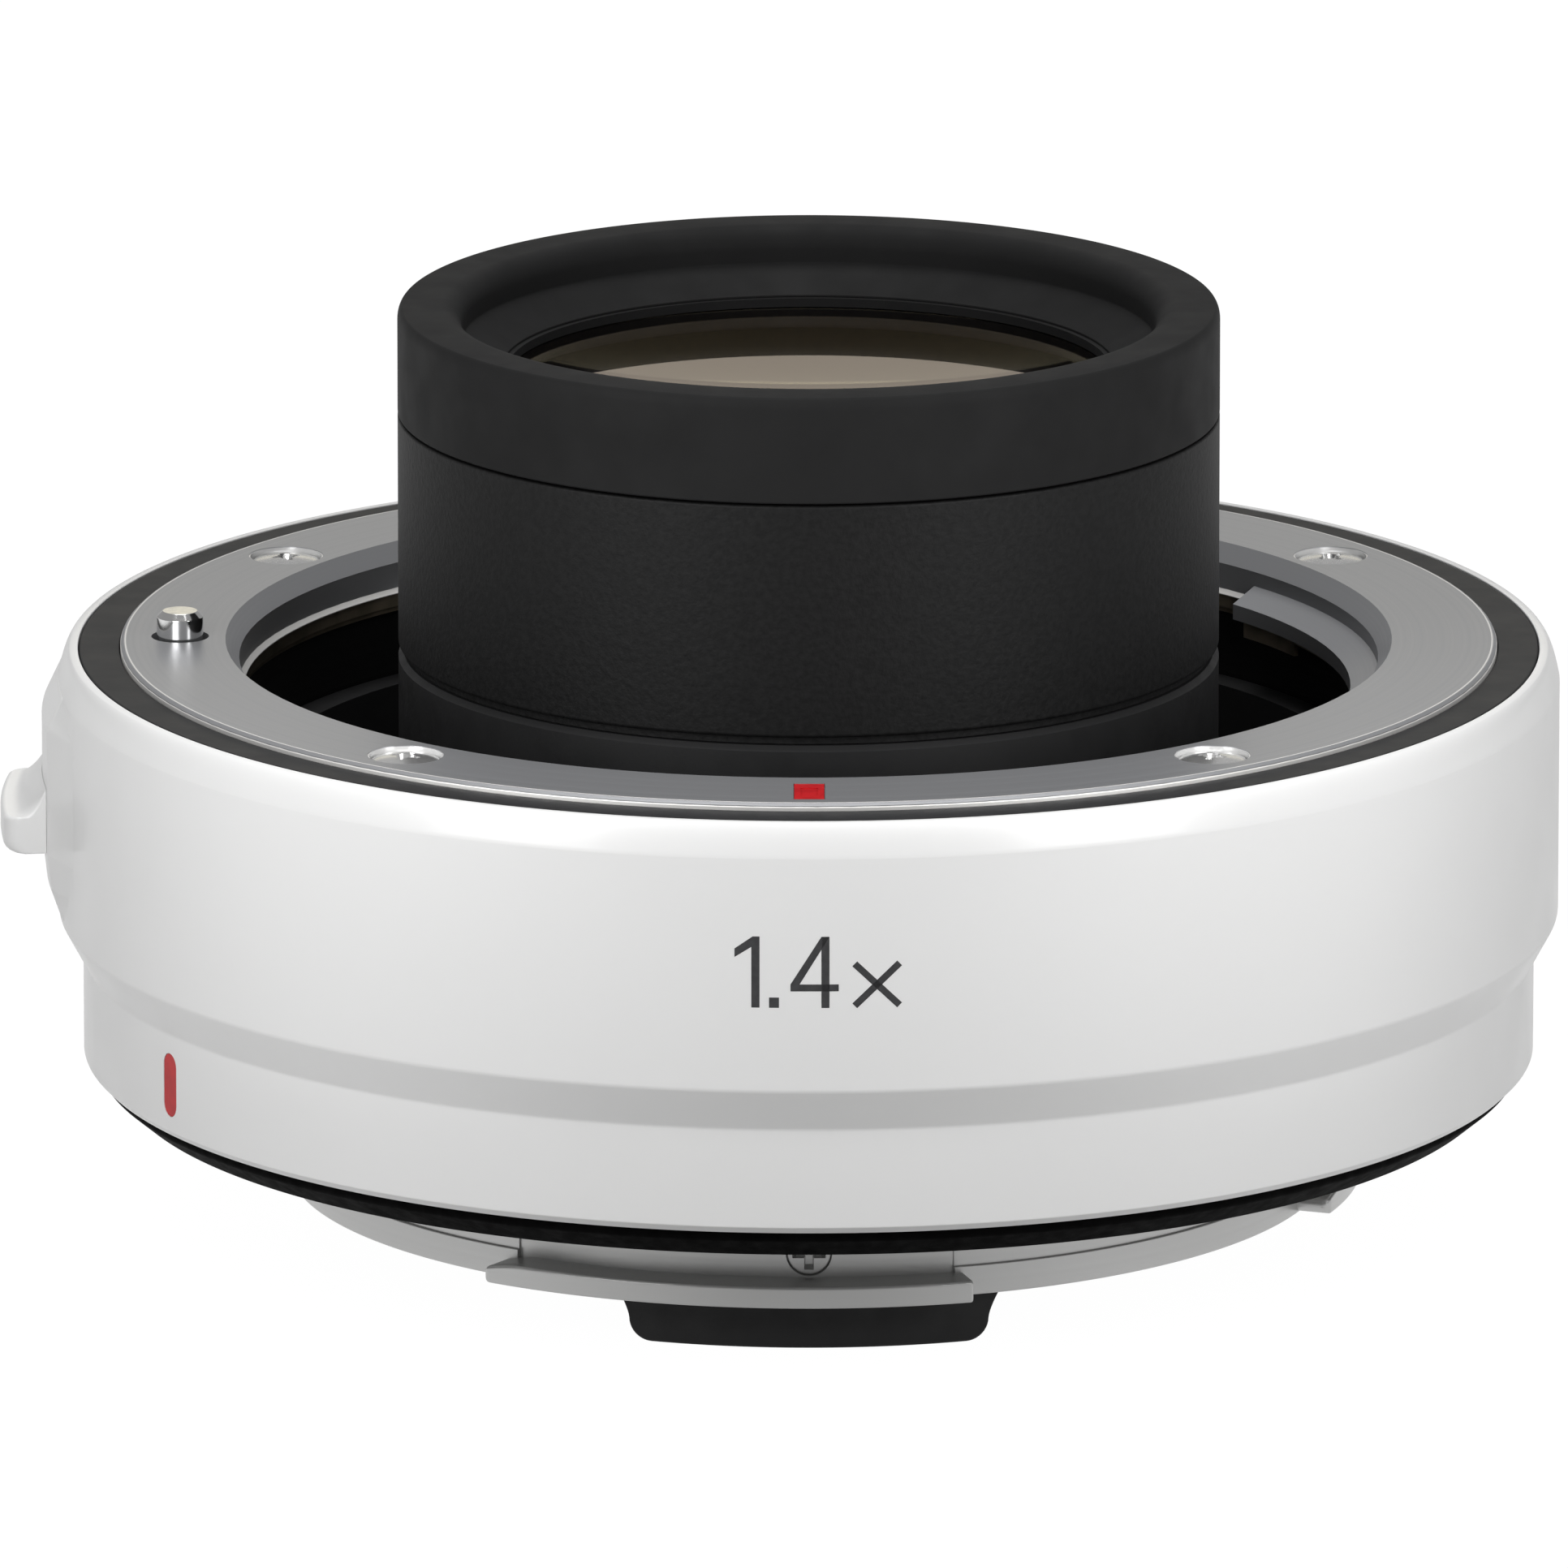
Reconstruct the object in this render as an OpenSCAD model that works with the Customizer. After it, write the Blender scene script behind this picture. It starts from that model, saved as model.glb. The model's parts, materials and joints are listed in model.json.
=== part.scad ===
// Camera teleconverter: a short optical extender that sits between a camera body and a lens.
// Origin: the optical axis at the rear flange plane. +Z points to the lens side.
// Angles are counted from the front (-Y, where the index mark is) towards +X.

/* [Front mount] */
// Distance from the rear flange plane to the front flange plane
body_len = 20.3; // [20:0.1:24]
// Diameter of the front throat
throat_d = 54; // [53:0.5:58]
// Radial width of the front mount's flat face, with its edge bevel
face_w = 5.6; // [5.4:0.01:6.6]
// Thickness of the front mount ring
mount_t = 2.5; // [2.3:0.1:3]
// Bevel on the outer edge of the front mount ring
mount_bevel = 0.12; // [0.1:0.02:0.5]
// Width of the throat's lead-in bevel
throat_bevel_w = 0.65; // [0.3:0.05:1]
// Height of the throat's lead-in bevel
throat_bevel_h = 0.85; // [0.4:0.05:1]
// How far the bayonet tabs reach into the throat
tab_reach = 1.3; // [0.8:0.1:1.8]
// Depth of a tab's top below the front face, at its root
tab_drop = 1.55; // [1.3:0.05:1.8]
// How much a tab's top slopes down towards its tip
tab_slope = 0.7; // [0.3:0.05:0.9]
// Height of a tab at its tip
tab_h = 0.75; // [0.6:0.05:1.5]
// Thickness of the bayonet spring's sheet
leaf_t = 0.2; // [0.15:0.05:0.3]
// Thickness of the flange shims
shim_t = 0.2; // [0.1:0.05:0.3]
// Radius of the screw circle, from the throat's wall
face_screw_inset = 2.9; // [2.7:0.1:3.2]
// Diameter of a face screw's head
face_screw_head_d = 3.2; // [2.6:0.1:3.4]
// Diameter of a face screw's thread
face_screw_d = 1.7; // [1.4:0.1:2]
// Depth of a face screw's counterbore
face_screw_sink = 0.55; // [0.4:0.05:0.8]
// Width of the red index mark
mark_w = 1.46; // [1:0.02:2]
// Radial length of the red index mark
mark_len = 3.05; // [2:0.05:3.4]

/* [Casing] */
// Width of the dark trim ring
trim_w = 1.9; // [1.2:0.05:2.2]
// Thickness of the trim ring
trim_t = 1.2; // [0.8:0.1:1.4]
// Width of the white rim outside the trim ring
rim_w = 0.98; // [0.8:0.02:1.4]
// Width of the rim's rounded shoulder
shoulder_w = 0.68; // [0.3:0.02:0.74]
// Height of the rim's rounded shoulder
shoulder_h = 1.6; // [0.8:0.05:2]
// How far the rim and trim lie below the front face
rim_drop = 0.3; // [0.1:0.05:0.5]
// Wall of the casing
casing_wall = 1.6; // [1.5:0.05:2]
// Radial step between the upper and lower casing
low_step = 1.15; // [0.8:0.05:1.4]
// Height of the lower casing's top edge
low_top = 5.2; // [4.8:0.1:5.6]
// Height of the sloping band above the lower casing
taper_h = 2.1; // [1.6:0.1:2.3]
// Height of the casing's bottom edge above the rear flange plane
casing_base = 0.15; // [0.05:0.05:0.4]
// Rounding of the casing's bottom edge
base_round = 0.4; // [0.1:0.05:0.5]
// Width of the red index line on the casing
line_w = 1.25; // [0.8:0.05:2]
// Height of the red index line on the casing
line_h = 3.08; // [2:0.02:3.2]
// Depth of the paint-filled recesses
inlay_t = 0.15; // [0.1:0.05:0.25]

/* [Barrel] */
// Diameter of the barrel
barrel_d = 38.9; // [38:0.1:40]
// How far the barrel stands out of the front face
barrel_out = 16.1; // [15:0.1:18]
// Height of the hood at the barrel's end
hood_h = 5.1; // [4.6:0.1:5.6]
// Wall of the barrel's outer sleeve
sleeve_wall = 1.17; // [1:0.01:1.4]
// Wall of the lens cell at its upper end
cell_wall = 1.3; // [1:0.05:1.6]
// Wall of the hood at its opening
hood_wall = 3.05; // [2.4:0.05:3.9]
// Width of the hood's outer edge rounding
hood_round_w = 0.28; // [0.1:0.02:0.6]
// Height of the hood's outer edge rounding
hood_round_h = 0.6; // [0.2:0.05:1]
// Height of the hood's straight inner wall
hood_wall_h = 1.72; // [1.2:0.02:2]
// Height of the hood's sloping ledge
ledge_h = 1.2; // [0.8:0.05:1.5]
// Depth of the throat, from the front face to its floor
throat_depth = 9.9; // [9:0.1:10.2]
// Height of the step round the barrel's foot, below the front face
foot_drop = 0.58; // [0.4:0.02:0.8]
// Height of the groove round the barrel's foot
foot_groove = 0.43; // [0.2:0.01:0.6]

/* [Lenses] */
// Wall of the hood's spigot, which holds the front lenses
spigot_wall = 1.52; // [1.36:0.02:2.2]
// Width of the flat seat round a lens's edge
lens_seat = 1.85; // [1.4:0.05:2.8]
// Width of the front retaining ring
front_ring_w = 1.05; // [0.8:0.05:1.4]
// Edge thickness of each lens, from front to rear
lens_edges = [1.95, 2.97, 2.8, 3.8, 3.6, 4.9, 3.4];
// Bulge of each lens surface towards the front, from front to rear
lens_tops = [0.2, -1.4, 1.2, -1.6, -1.2, -1.3, 1];
// Bulge of each lens surface towards the rear, from front to rear
lens_bottoms = [1.4, -0.6, 1.6, -0.9, 1.3, -0.8, -0.5];
// Length of the front spacer
front_gap = 2.4; // [2:0.1:2.8]
// Length of the middle spacer
middle_gap = 1.8; // [1.4:0.1:2.2]
// Length of the rear spacer
rear_gap = 1.6; // [1.3:0.1:2]
// Layer of cement between two lenses
cement = 0.03; // [0.01:0.01:0.05]

/* [Rear mount] */
// Thickness of the rear flange
flange_t = 1.6; // [1.3:0.1:2]
// Height of the locating spigot under the rear flange
spigot_h = 1.2; // [0.8:0.1:1.4]
// Length of the rear bayonet, from the flange plane
neck_len = 5.68; // [5.3:0.02:6.2]
// Wall of the rear bayonet
neck_wall = 1.35; // [1.2:0.05:1.5]
// How far the lugs stand out of the neck
lug_reach = 1.6; // [1.2:0.05:1.8]
// Height of a lug
lug_h = 1.05; // [0.8:0.05:1.3]
// Radial width of the rubber seal
seal_w = 2.3; // [1.8:0.1:2.6]
// How far the seal stands in from the lower casing
seal_inset = 0.67; // [0.4:0.01:1]
// How far the seal hangs below the rear flange plane
seal_drop = 1.3; // [0.5:0.05:1.5]
// Diameter of a rear mount screw's head
rear_screw_head_d = 3; // [2.4:0.1:3.2]
// Diameter of a rear mount screw's thread
rear_screw_d = 1.4; // [1.2:0.1:1.6]
// Diameter of a neck screw's head
neck_screw_head_d = 2.2; // [1.8:0.1:2.4]
// Diameter of a neck screw's thread
neck_screw_d = 1.2; // [1:0.1:1.4]
// Width of the baffle's window
window_w = 27; // [24:0.5:28]
// Height of the baffle's window
window_h = 20; // [17:0.5:21]
// Thickness of the baffle's plate
baffle_t = 1.2; // [0.8:0.1:1.4]
// Radius of the hole that takes the camera's own lock pin
lock_hole_r = 1.6; // [1.3:0.1:1.9]

/* [Lock] */
// Travel of the release lever and the lock pin
lock_travel = 1.8; // [1.4:0.1:2]
// Diameter of the lock pin
pin_d = 2.2; // [1.6:0.1:2.4]
// How far the lock pin stands out of the front face
pin_out = 1.25; // [1:0.05:1.7]
// Diameter of the hole round the lock pin
pin_hole_d = 2.74; // [2.5:0.02:3]
// Distance of the lock pin from the throat's wall
pin_inset = 2.8; // [2.7:0.1:3]
// Diameter of the wire of the lock pin's spring
spring_wire_d = 0.24; // [0.16:0.02:0.28]
// Width of the lever's knob
knob_w = 10; // [7:0.5:11]
// How far the knob stands out of the casing
knob_out = 2.75; // [2.2:0.05:3.5]
// Height of the knob
knob_h = 3.2; // [2.6:0.05:3.4]
// How far the pad behind the lever stands out of the casing
pad_out = 0.75; // [0.4:0.05:1]
// Width of the pad behind the lever
pad_w = 10; // [9:0.5:14]
// Width of the lever's stem
stem_w = 3; // [2:0.5:4]

/* [Contacts] */
// Number of contacts in each row
contact_count = 12; // [8:1:12]
// Spacing of the contacts
contact_pitch = 1.15; // [1.05:0.05:1.2]
// Diameter of a contact pin
contact_d = 0.72; // [0.5:0.02:0.74]
// Travel of the contact pins
contact_travel = 0.8; // [0.5:0.1:0.9]
// Width of the rear contact block at its top
block_top_w = 17.7; // [17:0.1:18]
// Width of the rear contact block at its foot
block_foot_w = 16.6; // [15.6:0.1:16.8]
// How far the rear contact block reaches behind the flange plane
block_reach = 8.35; // [7.8:0.05:9]
// Rounding of the rear contact block's lower corners
block_round = 1.25; // [0.6:0.05:1.4]
// Radial depth of the rear contact block
block_depth = 4; // [3.6:0.1:4.4]
// Width of the front contact block
front_block_w = 16.4; // [16:0.1:17]
// Radial depth of the front contact block
front_block_depth = 3.6; // [3.2:0.1:3.8]
// Thickness of the circuit board
board_t = 0.8; // [0.6:0.1:1]
// Thickness of the flex cables
flex_t = 0.2; // [0.1:0.05:0.3]
// Diameter of a small screw's head
small_head_d = 1.9; // [1.5:0.1:2]
// Diameter of a small screw's thread
small_screw_d = 1; // [0.8:0.1:1.2]

/* [Fits] */
// Gap between rings that nest in each other
nest_gap = 0.07; // [0.05:0.01:0.1]
// Radial clearance of a sliding pin
run_gap = 0.05; // [0.02:0.01:0.08]
// Clearance of a screw's thread in its hole
thread_gap = 0.02; // [0.01:0.01:0.04]
// Gap between faces that lie on each other
seat_gap = 0.03; // [0.01:0.01:0.05]
// Side clearance of the sliding lever
slide_gap = 0.2; // [0.15:0.01:0.25]

/* [Hidden] */
$fn = 96;
eps = 0.01;
// How far a cut runs past the face it opens
past = 1;
// Space between pieces that pass each other without touching
free_gap = 0.3;
// Space between pieces that lie close, and the bevel of a small edge
close_gap = 0.1;

// Angles of the features round the axis
tab_spans = [[-36, 17], [82, 127.5], [190, 225]];
lug_spans = [[-35.5, 17], [69, 126], [190, 225]];
face_screw_angles = [-38.9, 38.9, 123, -123];
rear_screw_angles = [45, 135, 225, 315];
neck_screw_angles = [0, 120, 240];
barrel_screw_angles = [60, 180, 300];
board_screw_angles = [-62, 28, 62];
board_half_angle = 75;
line_angle = -60.5;
line_lift = 0.07;
lock_angle = -90;
leaf_tab_angle = 10;

// Radii of the front mount and casing, from the throat outwards
throat_r = throat_d / 2;
mount_r = throat_r + face_w;
trim_in_r = mount_r + nest_gap;
trim_out_r = trim_in_r + trim_w;
rim_in_r = trim_out_r + nest_gap;
casing_r = rim_in_r + rim_w;
bore_r = casing_r - casing_wall;
casing_low_r = casing_r - low_step;
bore_low_r = casing_low_r - casing_wall;
pad_r = casing_r + pad_out;
face_screw_r = throat_r + face_screw_inset;
lock_r = throat_r + pin_inset;

// Radii of the rear mount, from the seal inwards
seal_r = casing_low_r - seal_inset;
seal_in_r = seal_r - seal_w;
seal_rib = seal_w / 3;
seal_taper = 1.2;
seal_band = 0.3;
seal_rib_r = seal_in_r + seal_rib;
casing_lip_r = seal_rib_r + nest_gap;
flange_r = seal_in_r - nest_gap;
spigot_r = throat_r - run_gap;
lug_inset = 0.6;
lug_r = spigot_r - lug_inset;
neck_r = lug_r - lug_reach;
neck_relief = 0.15;
neck_in_r = neck_r - neck_wall;
baffle_r = neck_in_r - nest_gap;
baffle_wall = 1.3;
block_r = baffle_r;
block_in_r = block_r - block_depth;
rear_screw_r = (spigot_r + flange_r) / 2;
rear_screw_sink = 0.08;

// Radii of the barrel, from its outside inwards
barrel_r = barrel_d / 2;
cell_r = barrel_r - sleeve_wall - nest_gap;
cell_top_r = cell_r - cell_wall;
hood_open_r = barrel_r - hood_wall;
lens_bore_r = cell_top_r - nest_gap - spigot_wall;
lens_r = lens_bore_r - nest_gap;
clear_r = lens_r - lens_seat;
front_clear_r = lens_r - front_ring_w;
rear_bore_r = lens_bore_r + free_gap;
cell_flange_w = 2.6;
cell_flange_r = cell_r + cell_flange_w;
barrel_screw_r = cell_r + cell_flange_w / 2 + close_gap;
hood_lip = 1.05;
ledge_lip = 0.6;

// Radii of the frame
frame_in_r = throat_r + free_gap;
frame_wall = 0.8;
frame_wall_r = frame_in_r + frame_wall;
frame_r = bore_r - nest_gap;
frame_low_r = bore_low_r - nest_gap;
liner_r = frame_in_r - 3 * nest_gap;
liner_wall = 1.4;
liner_floor_t = 0.8;
liner_h = 3.5;
foot_edge = 0.25;
board_gap = 0.4;
board_r = frame_in_r - board_gap;
board_in_r = cell_flange_r + board_gap;
front_block_margin = 0.9;
front_block_r = liner_r - liner_wall - front_block_margin;
front_block_in_r = front_block_r - front_block_depth;
contact_r = (front_block_r + front_block_in_r) / 2;
block_lip = 0.45;
block_lip_t = 0.7;

// Heights, from the front face down
rim_z = body_len - rim_drop;
trim_z = rim_z - seat_gap;
ledge_z = trim_z - trim_t - seat_gap;
mount_z = body_len - mount_t;
frame_top = mount_z - shim_t;
top_flange_t = 2;
top_flange_z = frame_top - top_flange_t;
floor_z = body_len - throat_depth;
floor_t = 1.4;
floor_base = floor_z - floor_t;
frame_base = flange_t + shim_t;
base_flange_t = 1.8;
base_flange_top = frame_base + base_flange_t;
foot_z = body_len - foot_drop;
sleeve_z = foot_z + foot_groove;
barrel_top = body_len + barrel_out;
seam_z = barrel_top - hood_h;
seam_gap = 0.1;
ledge_top = barrel_top - hood_wall_h;
ledge_base = ledge_top - ledge_h;
tab_root_z = body_len - tab_drop;
tab_tip_z = tab_root_z - tab_slope;
tab_base = tab_tip_z - tab_h;
tab_root_w = 0.4;
tab_root_h = 0.5;
leaf_drop = 0.05;
leaf_top = tab_base - leaf_drop;
leaf_lip = 0.6;

// Heights of the lens stack, from the front down
ring_t = 0.42;
stack_top = ledge_base - ring_t - 2 * seat_gap;
lens_1_base = stack_top - lens_edges[0];
lens_2_base = lens_1_base - cement - lens_edges[1];
front_spacer_base = lens_2_base - seat_gap - front_gap;
lens_3_base = front_spacer_base - seat_gap - lens_edges[2];
lens_4_base = lens_3_base - cement - lens_edges[3];
middle_spacer_base = lens_4_base - seat_gap - middle_gap;
lens_5_base = middle_spacer_base - seat_gap - lens_edges[4];
lens_6_base = lens_5_base - cement - lens_edges[5];
cell_seat = lens_6_base - seat_gap;
cell_seat_t = 0.6;
rear_spacer_base = cell_seat - cell_seat_t - seat_gap - rear_gap;
lens_7_base = rear_spacer_base - seat_gap - lens_edges[6];
rear_ring_t = 0.8;
slot_w = 1.1;
rear_ring_base = lens_7_base - seat_gap - rear_ring_t;
cell_skirt = 0.8;
cell_base = rear_ring_base - cell_skirt;
cell_top = seam_z - free_gap;
spigot_base = lens_2_base + free_gap;
cell_step = spigot_base - close_gap;
cell_flange_t = 1.2;
cell_flange_base = floor_base - seat_gap - cell_flange_t;

// Heights of the rear mount
lug_lift = 0.08;
lug_base = -neck_len + lug_lift;
lug_top = lug_base + lug_h;
band_top = lug_top + free_gap;
neck_screw_z = -3.4;
baffle_top = -spigot_h;
baffle_h = 4;
baffle_base = baffle_top - baffle_h;
window_corner = 2;
seal_top = casing_base - seat_gap;
lip_top = frame_base - seat_gap;

// Sizes of the lock, in a frame where the radial direction is -Y
pin_r = pin_d / 2;
pin_edge = 0.28;
pin_stem_r = 0.6;
collar_r = lock_r - frame_wall_r - slide_gap;
collar_t = 1;
fork_top = top_flange_z - free_gap;
fork_t = 0.9;
fork_base = fork_top - fork_t;
collar_top = fork_base - close_gap;
collar_base = collar_top - collar_t;
bracket_t = 1.4;
bracket_top = base_flange_top + bracket_t;
pin_base = bracket_top + lock_travel + free_gap + close_gap;
bush_wall = 0.75;
bush_r = pin_r + bush_wall;
carriage_w = 9;
carriage_t = 1;
carriage_r = sqrt(pow(bore_r - free_gap, 2) - pow(carriage_w / 2, 2));
carriage_in_r = carriage_r - carriage_t;
carriage_h = 5.1;
carriage_base = fork_top - carriage_h;
tongue_w = 7.8;
tongue_lift = 0.2;
fork_w = 4;
tongue_r = lock_r + collar_r + slide_gap;
rail_w = 1.35;
rail_r = carriage_in_r - slide_gap;
rail_depth = 1.3;
rail_in_r = rail_r - rail_depth;
stem_h = 2;
knob_drop = 4.45;
knob_nose = 0.25;
knob_round = 0.6;
knob_corner = 0.9;
knob_tip_h = 1.8;
knob_z = fork_top - knob_drop;
stem_lift = 0.35;
stem_base = knob_z + stem_lift;
lever_screw_z = stem_base + stem_h / 2;
lever_screw_sink = 0.6;
knob_r = casing_r + knob_out;
knob_back_r = pad_r + 0.75 * slide_gap;
scoop_inset = 0.54;
scoop_r = knob_r - scoop_inset;
scoop_turn = 1.75;
scoop_steps = 8;
pad_drop = 1.4;
pad_top = rim_z - pad_drop;
pad_lift = 0.2;
pad_base = low_top + taper_h + pad_lift;
pad_bevel = 1.6;
bore_lift = 0.75;
slot_top = stem_base + stem_h + slide_gap;
slot_base = stem_base - lock_travel - slide_gap;

// Sizes of the contacts and the board
front_block_up = 1.1;
front_block_top = floor_z + front_block_up;
front_block_down = 0.6;
front_block_base = floor_base - front_block_down;
contact_collar_t = 0.4;
contact_collar_w = 0.12;
contact_collar_r = contact_d / 2 + contact_collar_w;
contact_roof_t = 0.6;
contact_roof = front_block_top - contact_roof_t;
contact_collar_top = contact_roof - free_gap;
contact_collar_base = contact_collar_top - contact_collar_t;
contact_out = contact_travel + free_gap;
contact_spring_base = front_block_base + seat_gap;
contact_wire_d = 0.14;
contact_spring_r = contact_collar_r - contact_wire_d;
block_pad_r = block_in_r + block_depth / 2;
block_lean_z = -neck_len - slide_gap;
pad_t = 0.1;
pad_size = [0.7, 2.4];
flex_w = 8;
flex_drop = 1;
flex_inset = 0.5;
board_top = front_block_base - flex_t - flex_drop;
board_base = board_top - board_t;
boss_r = 1.2;
board_screw_r = (board_r + board_in_r) / 2;
chip_t = 0.8;
chip_inset = 2.84;
chip_r = board_r - chip_inset;
rear_flex_y = block_in_r + block_depth * 0.75;
small_head_t = 0.7;
// Chips under the board: angle, width and radial length of each
chips = [[-40, 5, 4], [-18, 3, 2], [-8, 1.6, 2.4], [8, 1.6, 2.4], [16, 1, 1.6], [45, 4, 3.4], [52, 1, 1.6]];

// Places and lengths of the marks and screws
mark_mid_r = throat_r + throat_bevel_w / 2 + face_w / 2 + close_gap;
neck_screw_in = 0.9;
neck_screw_grip = 1.6;
bracket_screw_inset = 0.6;
bracket_screw_x = tongue_w / 2 - bracket_screw_inset;
bracket_screw_r = lock_r + 0.4;
head_gap = 0.05;
counterbore_gap = 0.18;
hole_gap = 0.1;
thread_in = 1.2;

// Points of an elliptic arc, for the rounded stretches of an outline
function arc(centre, radii, from, to, steps = 6) = [
  for (i = [0:steps])
    let (a = from + (to - from) * i / steps)
    [centre[0] + radii[0] * cos(a), centre[1] + radii[1] * sin(a)]
];

// Turns children that lie at the front to an angle round the axis
module at(angle) {
  rotate([0, 0, angle]) children();
}

module disc(r, base, top) {
  translate([0, 0, base]) cylinder(r = r, h = top - base);
}

module ring(out_r, in_r, base, top) {
  difference() {
    disc(out_r, base, top);
    disc(in_r, base - eps, top + eps);
  }
}

module ring_arc(out_r, in_r, base, top, from, to) {
  rotate([0, 0, from - 90])
    rotate_extrude(angle = to - from)
      translate([in_r, base])
        square([out_r - in_r, top - base]);
}

// A round bar or hole that runs up at a distance r in front of the axis
module post(r, dist, base, top) {
  translate([0, -dist, 0]) disc(r, base, top);
}

// A round bar or hole that runs outwards at the front
module spoke(r, from, to, z) {
  translate([0, -from, z]) rotate([90, 0, 0]) cylinder(r = r, h = to - from);
}

// A block at the front: width across, two radial distances and two heights
module block(w, from, to, base, top) {
  translate([-w / 2, -to, base]) cube([w, to - from, top - base]);
}

module cross_recess(r, depth) {
  for (turn = [0, 90])
    rotate([0, 0, turn])
      translate([-r * 0.62, -r * 0.13, -depth])
        cube([r * 1.24, r * 0.26, depth + past]);
}

// A screw with a low domed head, standing on z = 0 with its head up
module pan_screw(head_r, head_t, thread_r, length) {
  difference() {
    union() {
      cylinder(r = head_r, h = head_t * 0.6);
      translate([0, 0, head_t * 0.6]) cylinder(r1 = head_r, r2 = head_r * 0.8, h = head_t * 0.4);
      translate([0, 0, -length]) cylinder(r = thread_r, h = length);
    }
    translate([0, 0, head_t]) cross_recess(head_r, head_t * 0.6);
  }
}

// A countersunk screw, with its flat head's top at z = 0
module sunk_screw(head_r, thread_r, length) {
  sink = head_r - thread_r;
  difference() {
    union() {
      translate([0, 0, -sink]) cylinder(r1 = thread_r, r2 = head_r, h = sink);
      translate([0, 0, -length]) cylinder(r = thread_r, h = length);
    }
    cross_recess(head_r, sink * 0.6);
  }
}

module sunk_hole(head_r, thread_r, length) {
  sink = head_r - thread_r;
  translate([0, 0, -sink]) cylinder(r1 = thread_r, r2 = head_r, h = sink);
  translate([0, 0, -eps]) cylinder(r = head_r, h = past);
  translate([0, 0, -length]) cylinder(r = thread_r, h = length);
}

// A wound spring from base to top round the Z axis, as one unbroken tube
module coil(mean_r, wire_r, base, top, turns, steps, sides) {
  n = turns * steps;
  rise = (top - base - 2 * wire_r) / n;
  points = [
    for (i = [0:n], j = [0:sides - 1])
      let (a = 360 * i / steps, b = 360 * j / sides)
      [
        (mean_r + wire_r * cos(b)) * cos(a),
        (mean_r + wire_r * cos(b)) * sin(a),
        base + wire_r + rise * i + wire_r * sin(b)
      ]
  ];
  walls = [
    for (i = [0:n - 1], j = [0:sides - 1])
      let (p = i * sides + j, q = i * sides + (j + 1) % sides)
      each [[p, q, q + sides], [p, q + sides, p + sides]]
  ];
  near_end = [for (j = [1:sides - 2]) [0, j + 1, j]];
  far_end = [for (j = [1:sides - 2]) [n * sides, n * sides + j, n * sides + j + 1]];
  polyhedron(points = points, faces = concat(walls, near_end, far_end));
}

// A lens with flat seats at its edge. A bulge below 0 is a hollow.
module lens(index, base) {
  top = base + lens_edges[index];
  up = lens_tops[index];
  down = lens_bottoms[index];
  rotate_extrude()
    difference() {
      union() {
        translate([0, base]) square([lens_r, top - base]);
        if (up > 0) bulge(up, top, 1);
        if (down > 0) bulge(down, base, -1);
      }
      if (up < 0) ball(up, top, 1);
      if (down < 0) ball(down, base, -1);
    }
}

// The circle of a lens surface that crosses the seat's plane at the clear radius
module ball(rise, z, side) {
  r = (clear_r * clear_r + rise * rise) / 2 / rise;
  translate([0, z + side * (rise - r)]) circle(r = abs(r), $fn = 720);
}

module bulge(rise, z, side) {
  intersection() {
    ball(rise, z, side);
    translate([0, side > 0 ? z - eps : z - rise]) square([clear_r, rise + eps]);
  }
}

module outer_casing() {
  shoulder = arc([casing_r - shoulder_w, rim_z - shoulder_h], [shoulder_w, shoulder_h], 0, 90);
  foot = arc([casing_low_r - base_round, casing_base + base_round], [base_round, base_round], 0, -90);
  color("white")
    difference() {
      union() {
        rotate_extrude()
          polygon(concat(
            [[bore_r, ledge_z], [rim_in_r, ledge_z], [rim_in_r, rim_z]],
            [for (i = [len(shoulder) - 1:-1:0]) shoulder[i]],
            [[casing_r, low_top + taper_h], [casing_low_r, low_top]],
            foot,
            [
              [casing_lip_r, casing_base], [casing_lip_r, lip_top], [bore_low_r, lip_top],
              [bore_low_r, low_top + bore_lift], [bore_r, low_top + taper_h + bore_lift]
            ]
          ));
        at(lock_angle) lever_pad();
      }
      at(lock_angle) block(stem_w + 2 * slide_gap, bore_r - past, pad_r + past, slot_base, slot_top);
      at(line_angle) line_prism(0);
    }
}

module lever_pad() {
  half = asin(pad_w / 2 / pad_r);
  rotate([0, 0, -half - 90])
    rotate_extrude(angle = 2 * half)
      polygon([
        [casing_r - casing_wall / 2, pad_base], [casing_r, pad_base], [pad_r, pad_base + pad_bevel],
        [pad_r, pad_top - pad_bevel], [casing_r, pad_top], [casing_r - casing_wall / 2, pad_top]
      ]);
}

// The prism that cuts the index line's recess, or its paint, out of the casing's wall
module line_prism(gap) {
  half_w = line_w / 2 - gap;
  straight = line_h / 2 - line_w / 2;
  difference() {
    translate([0, -casing_low_r + 2 * past, (casing_base + low_top) / 2 + line_lift])
      rotate([90, 0, 0])
        linear_extrude(height = 3 * past) {
          square([2 * half_w, 2 * straight], center = true);
          for (side = [-1, 1])
            translate([0, side * straight]) circle(r = half_w);
        }
    disc(casing_low_r - inlay_t + gap, -past, body_len);
  }
}

module casing_index_line() {
  color("firebrick")
    intersection() {
      at(line_angle) line_prism(seat_gap);
      disc(casing_low_r - seat_gap, 0, body_len);
    }
}

module front_trim_ring() {
  color("dimgray")
    rotate_extrude()
      polygon([
        [trim_in_r, trim_z - trim_t], [trim_out_r, trim_z - trim_t], [trim_out_r, trim_z - close_gap],
        [trim_out_r - close_gap, trim_z], [trim_in_r + close_gap, trim_z], [trim_in_r, trim_z - close_gap]
      ]);
}

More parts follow.
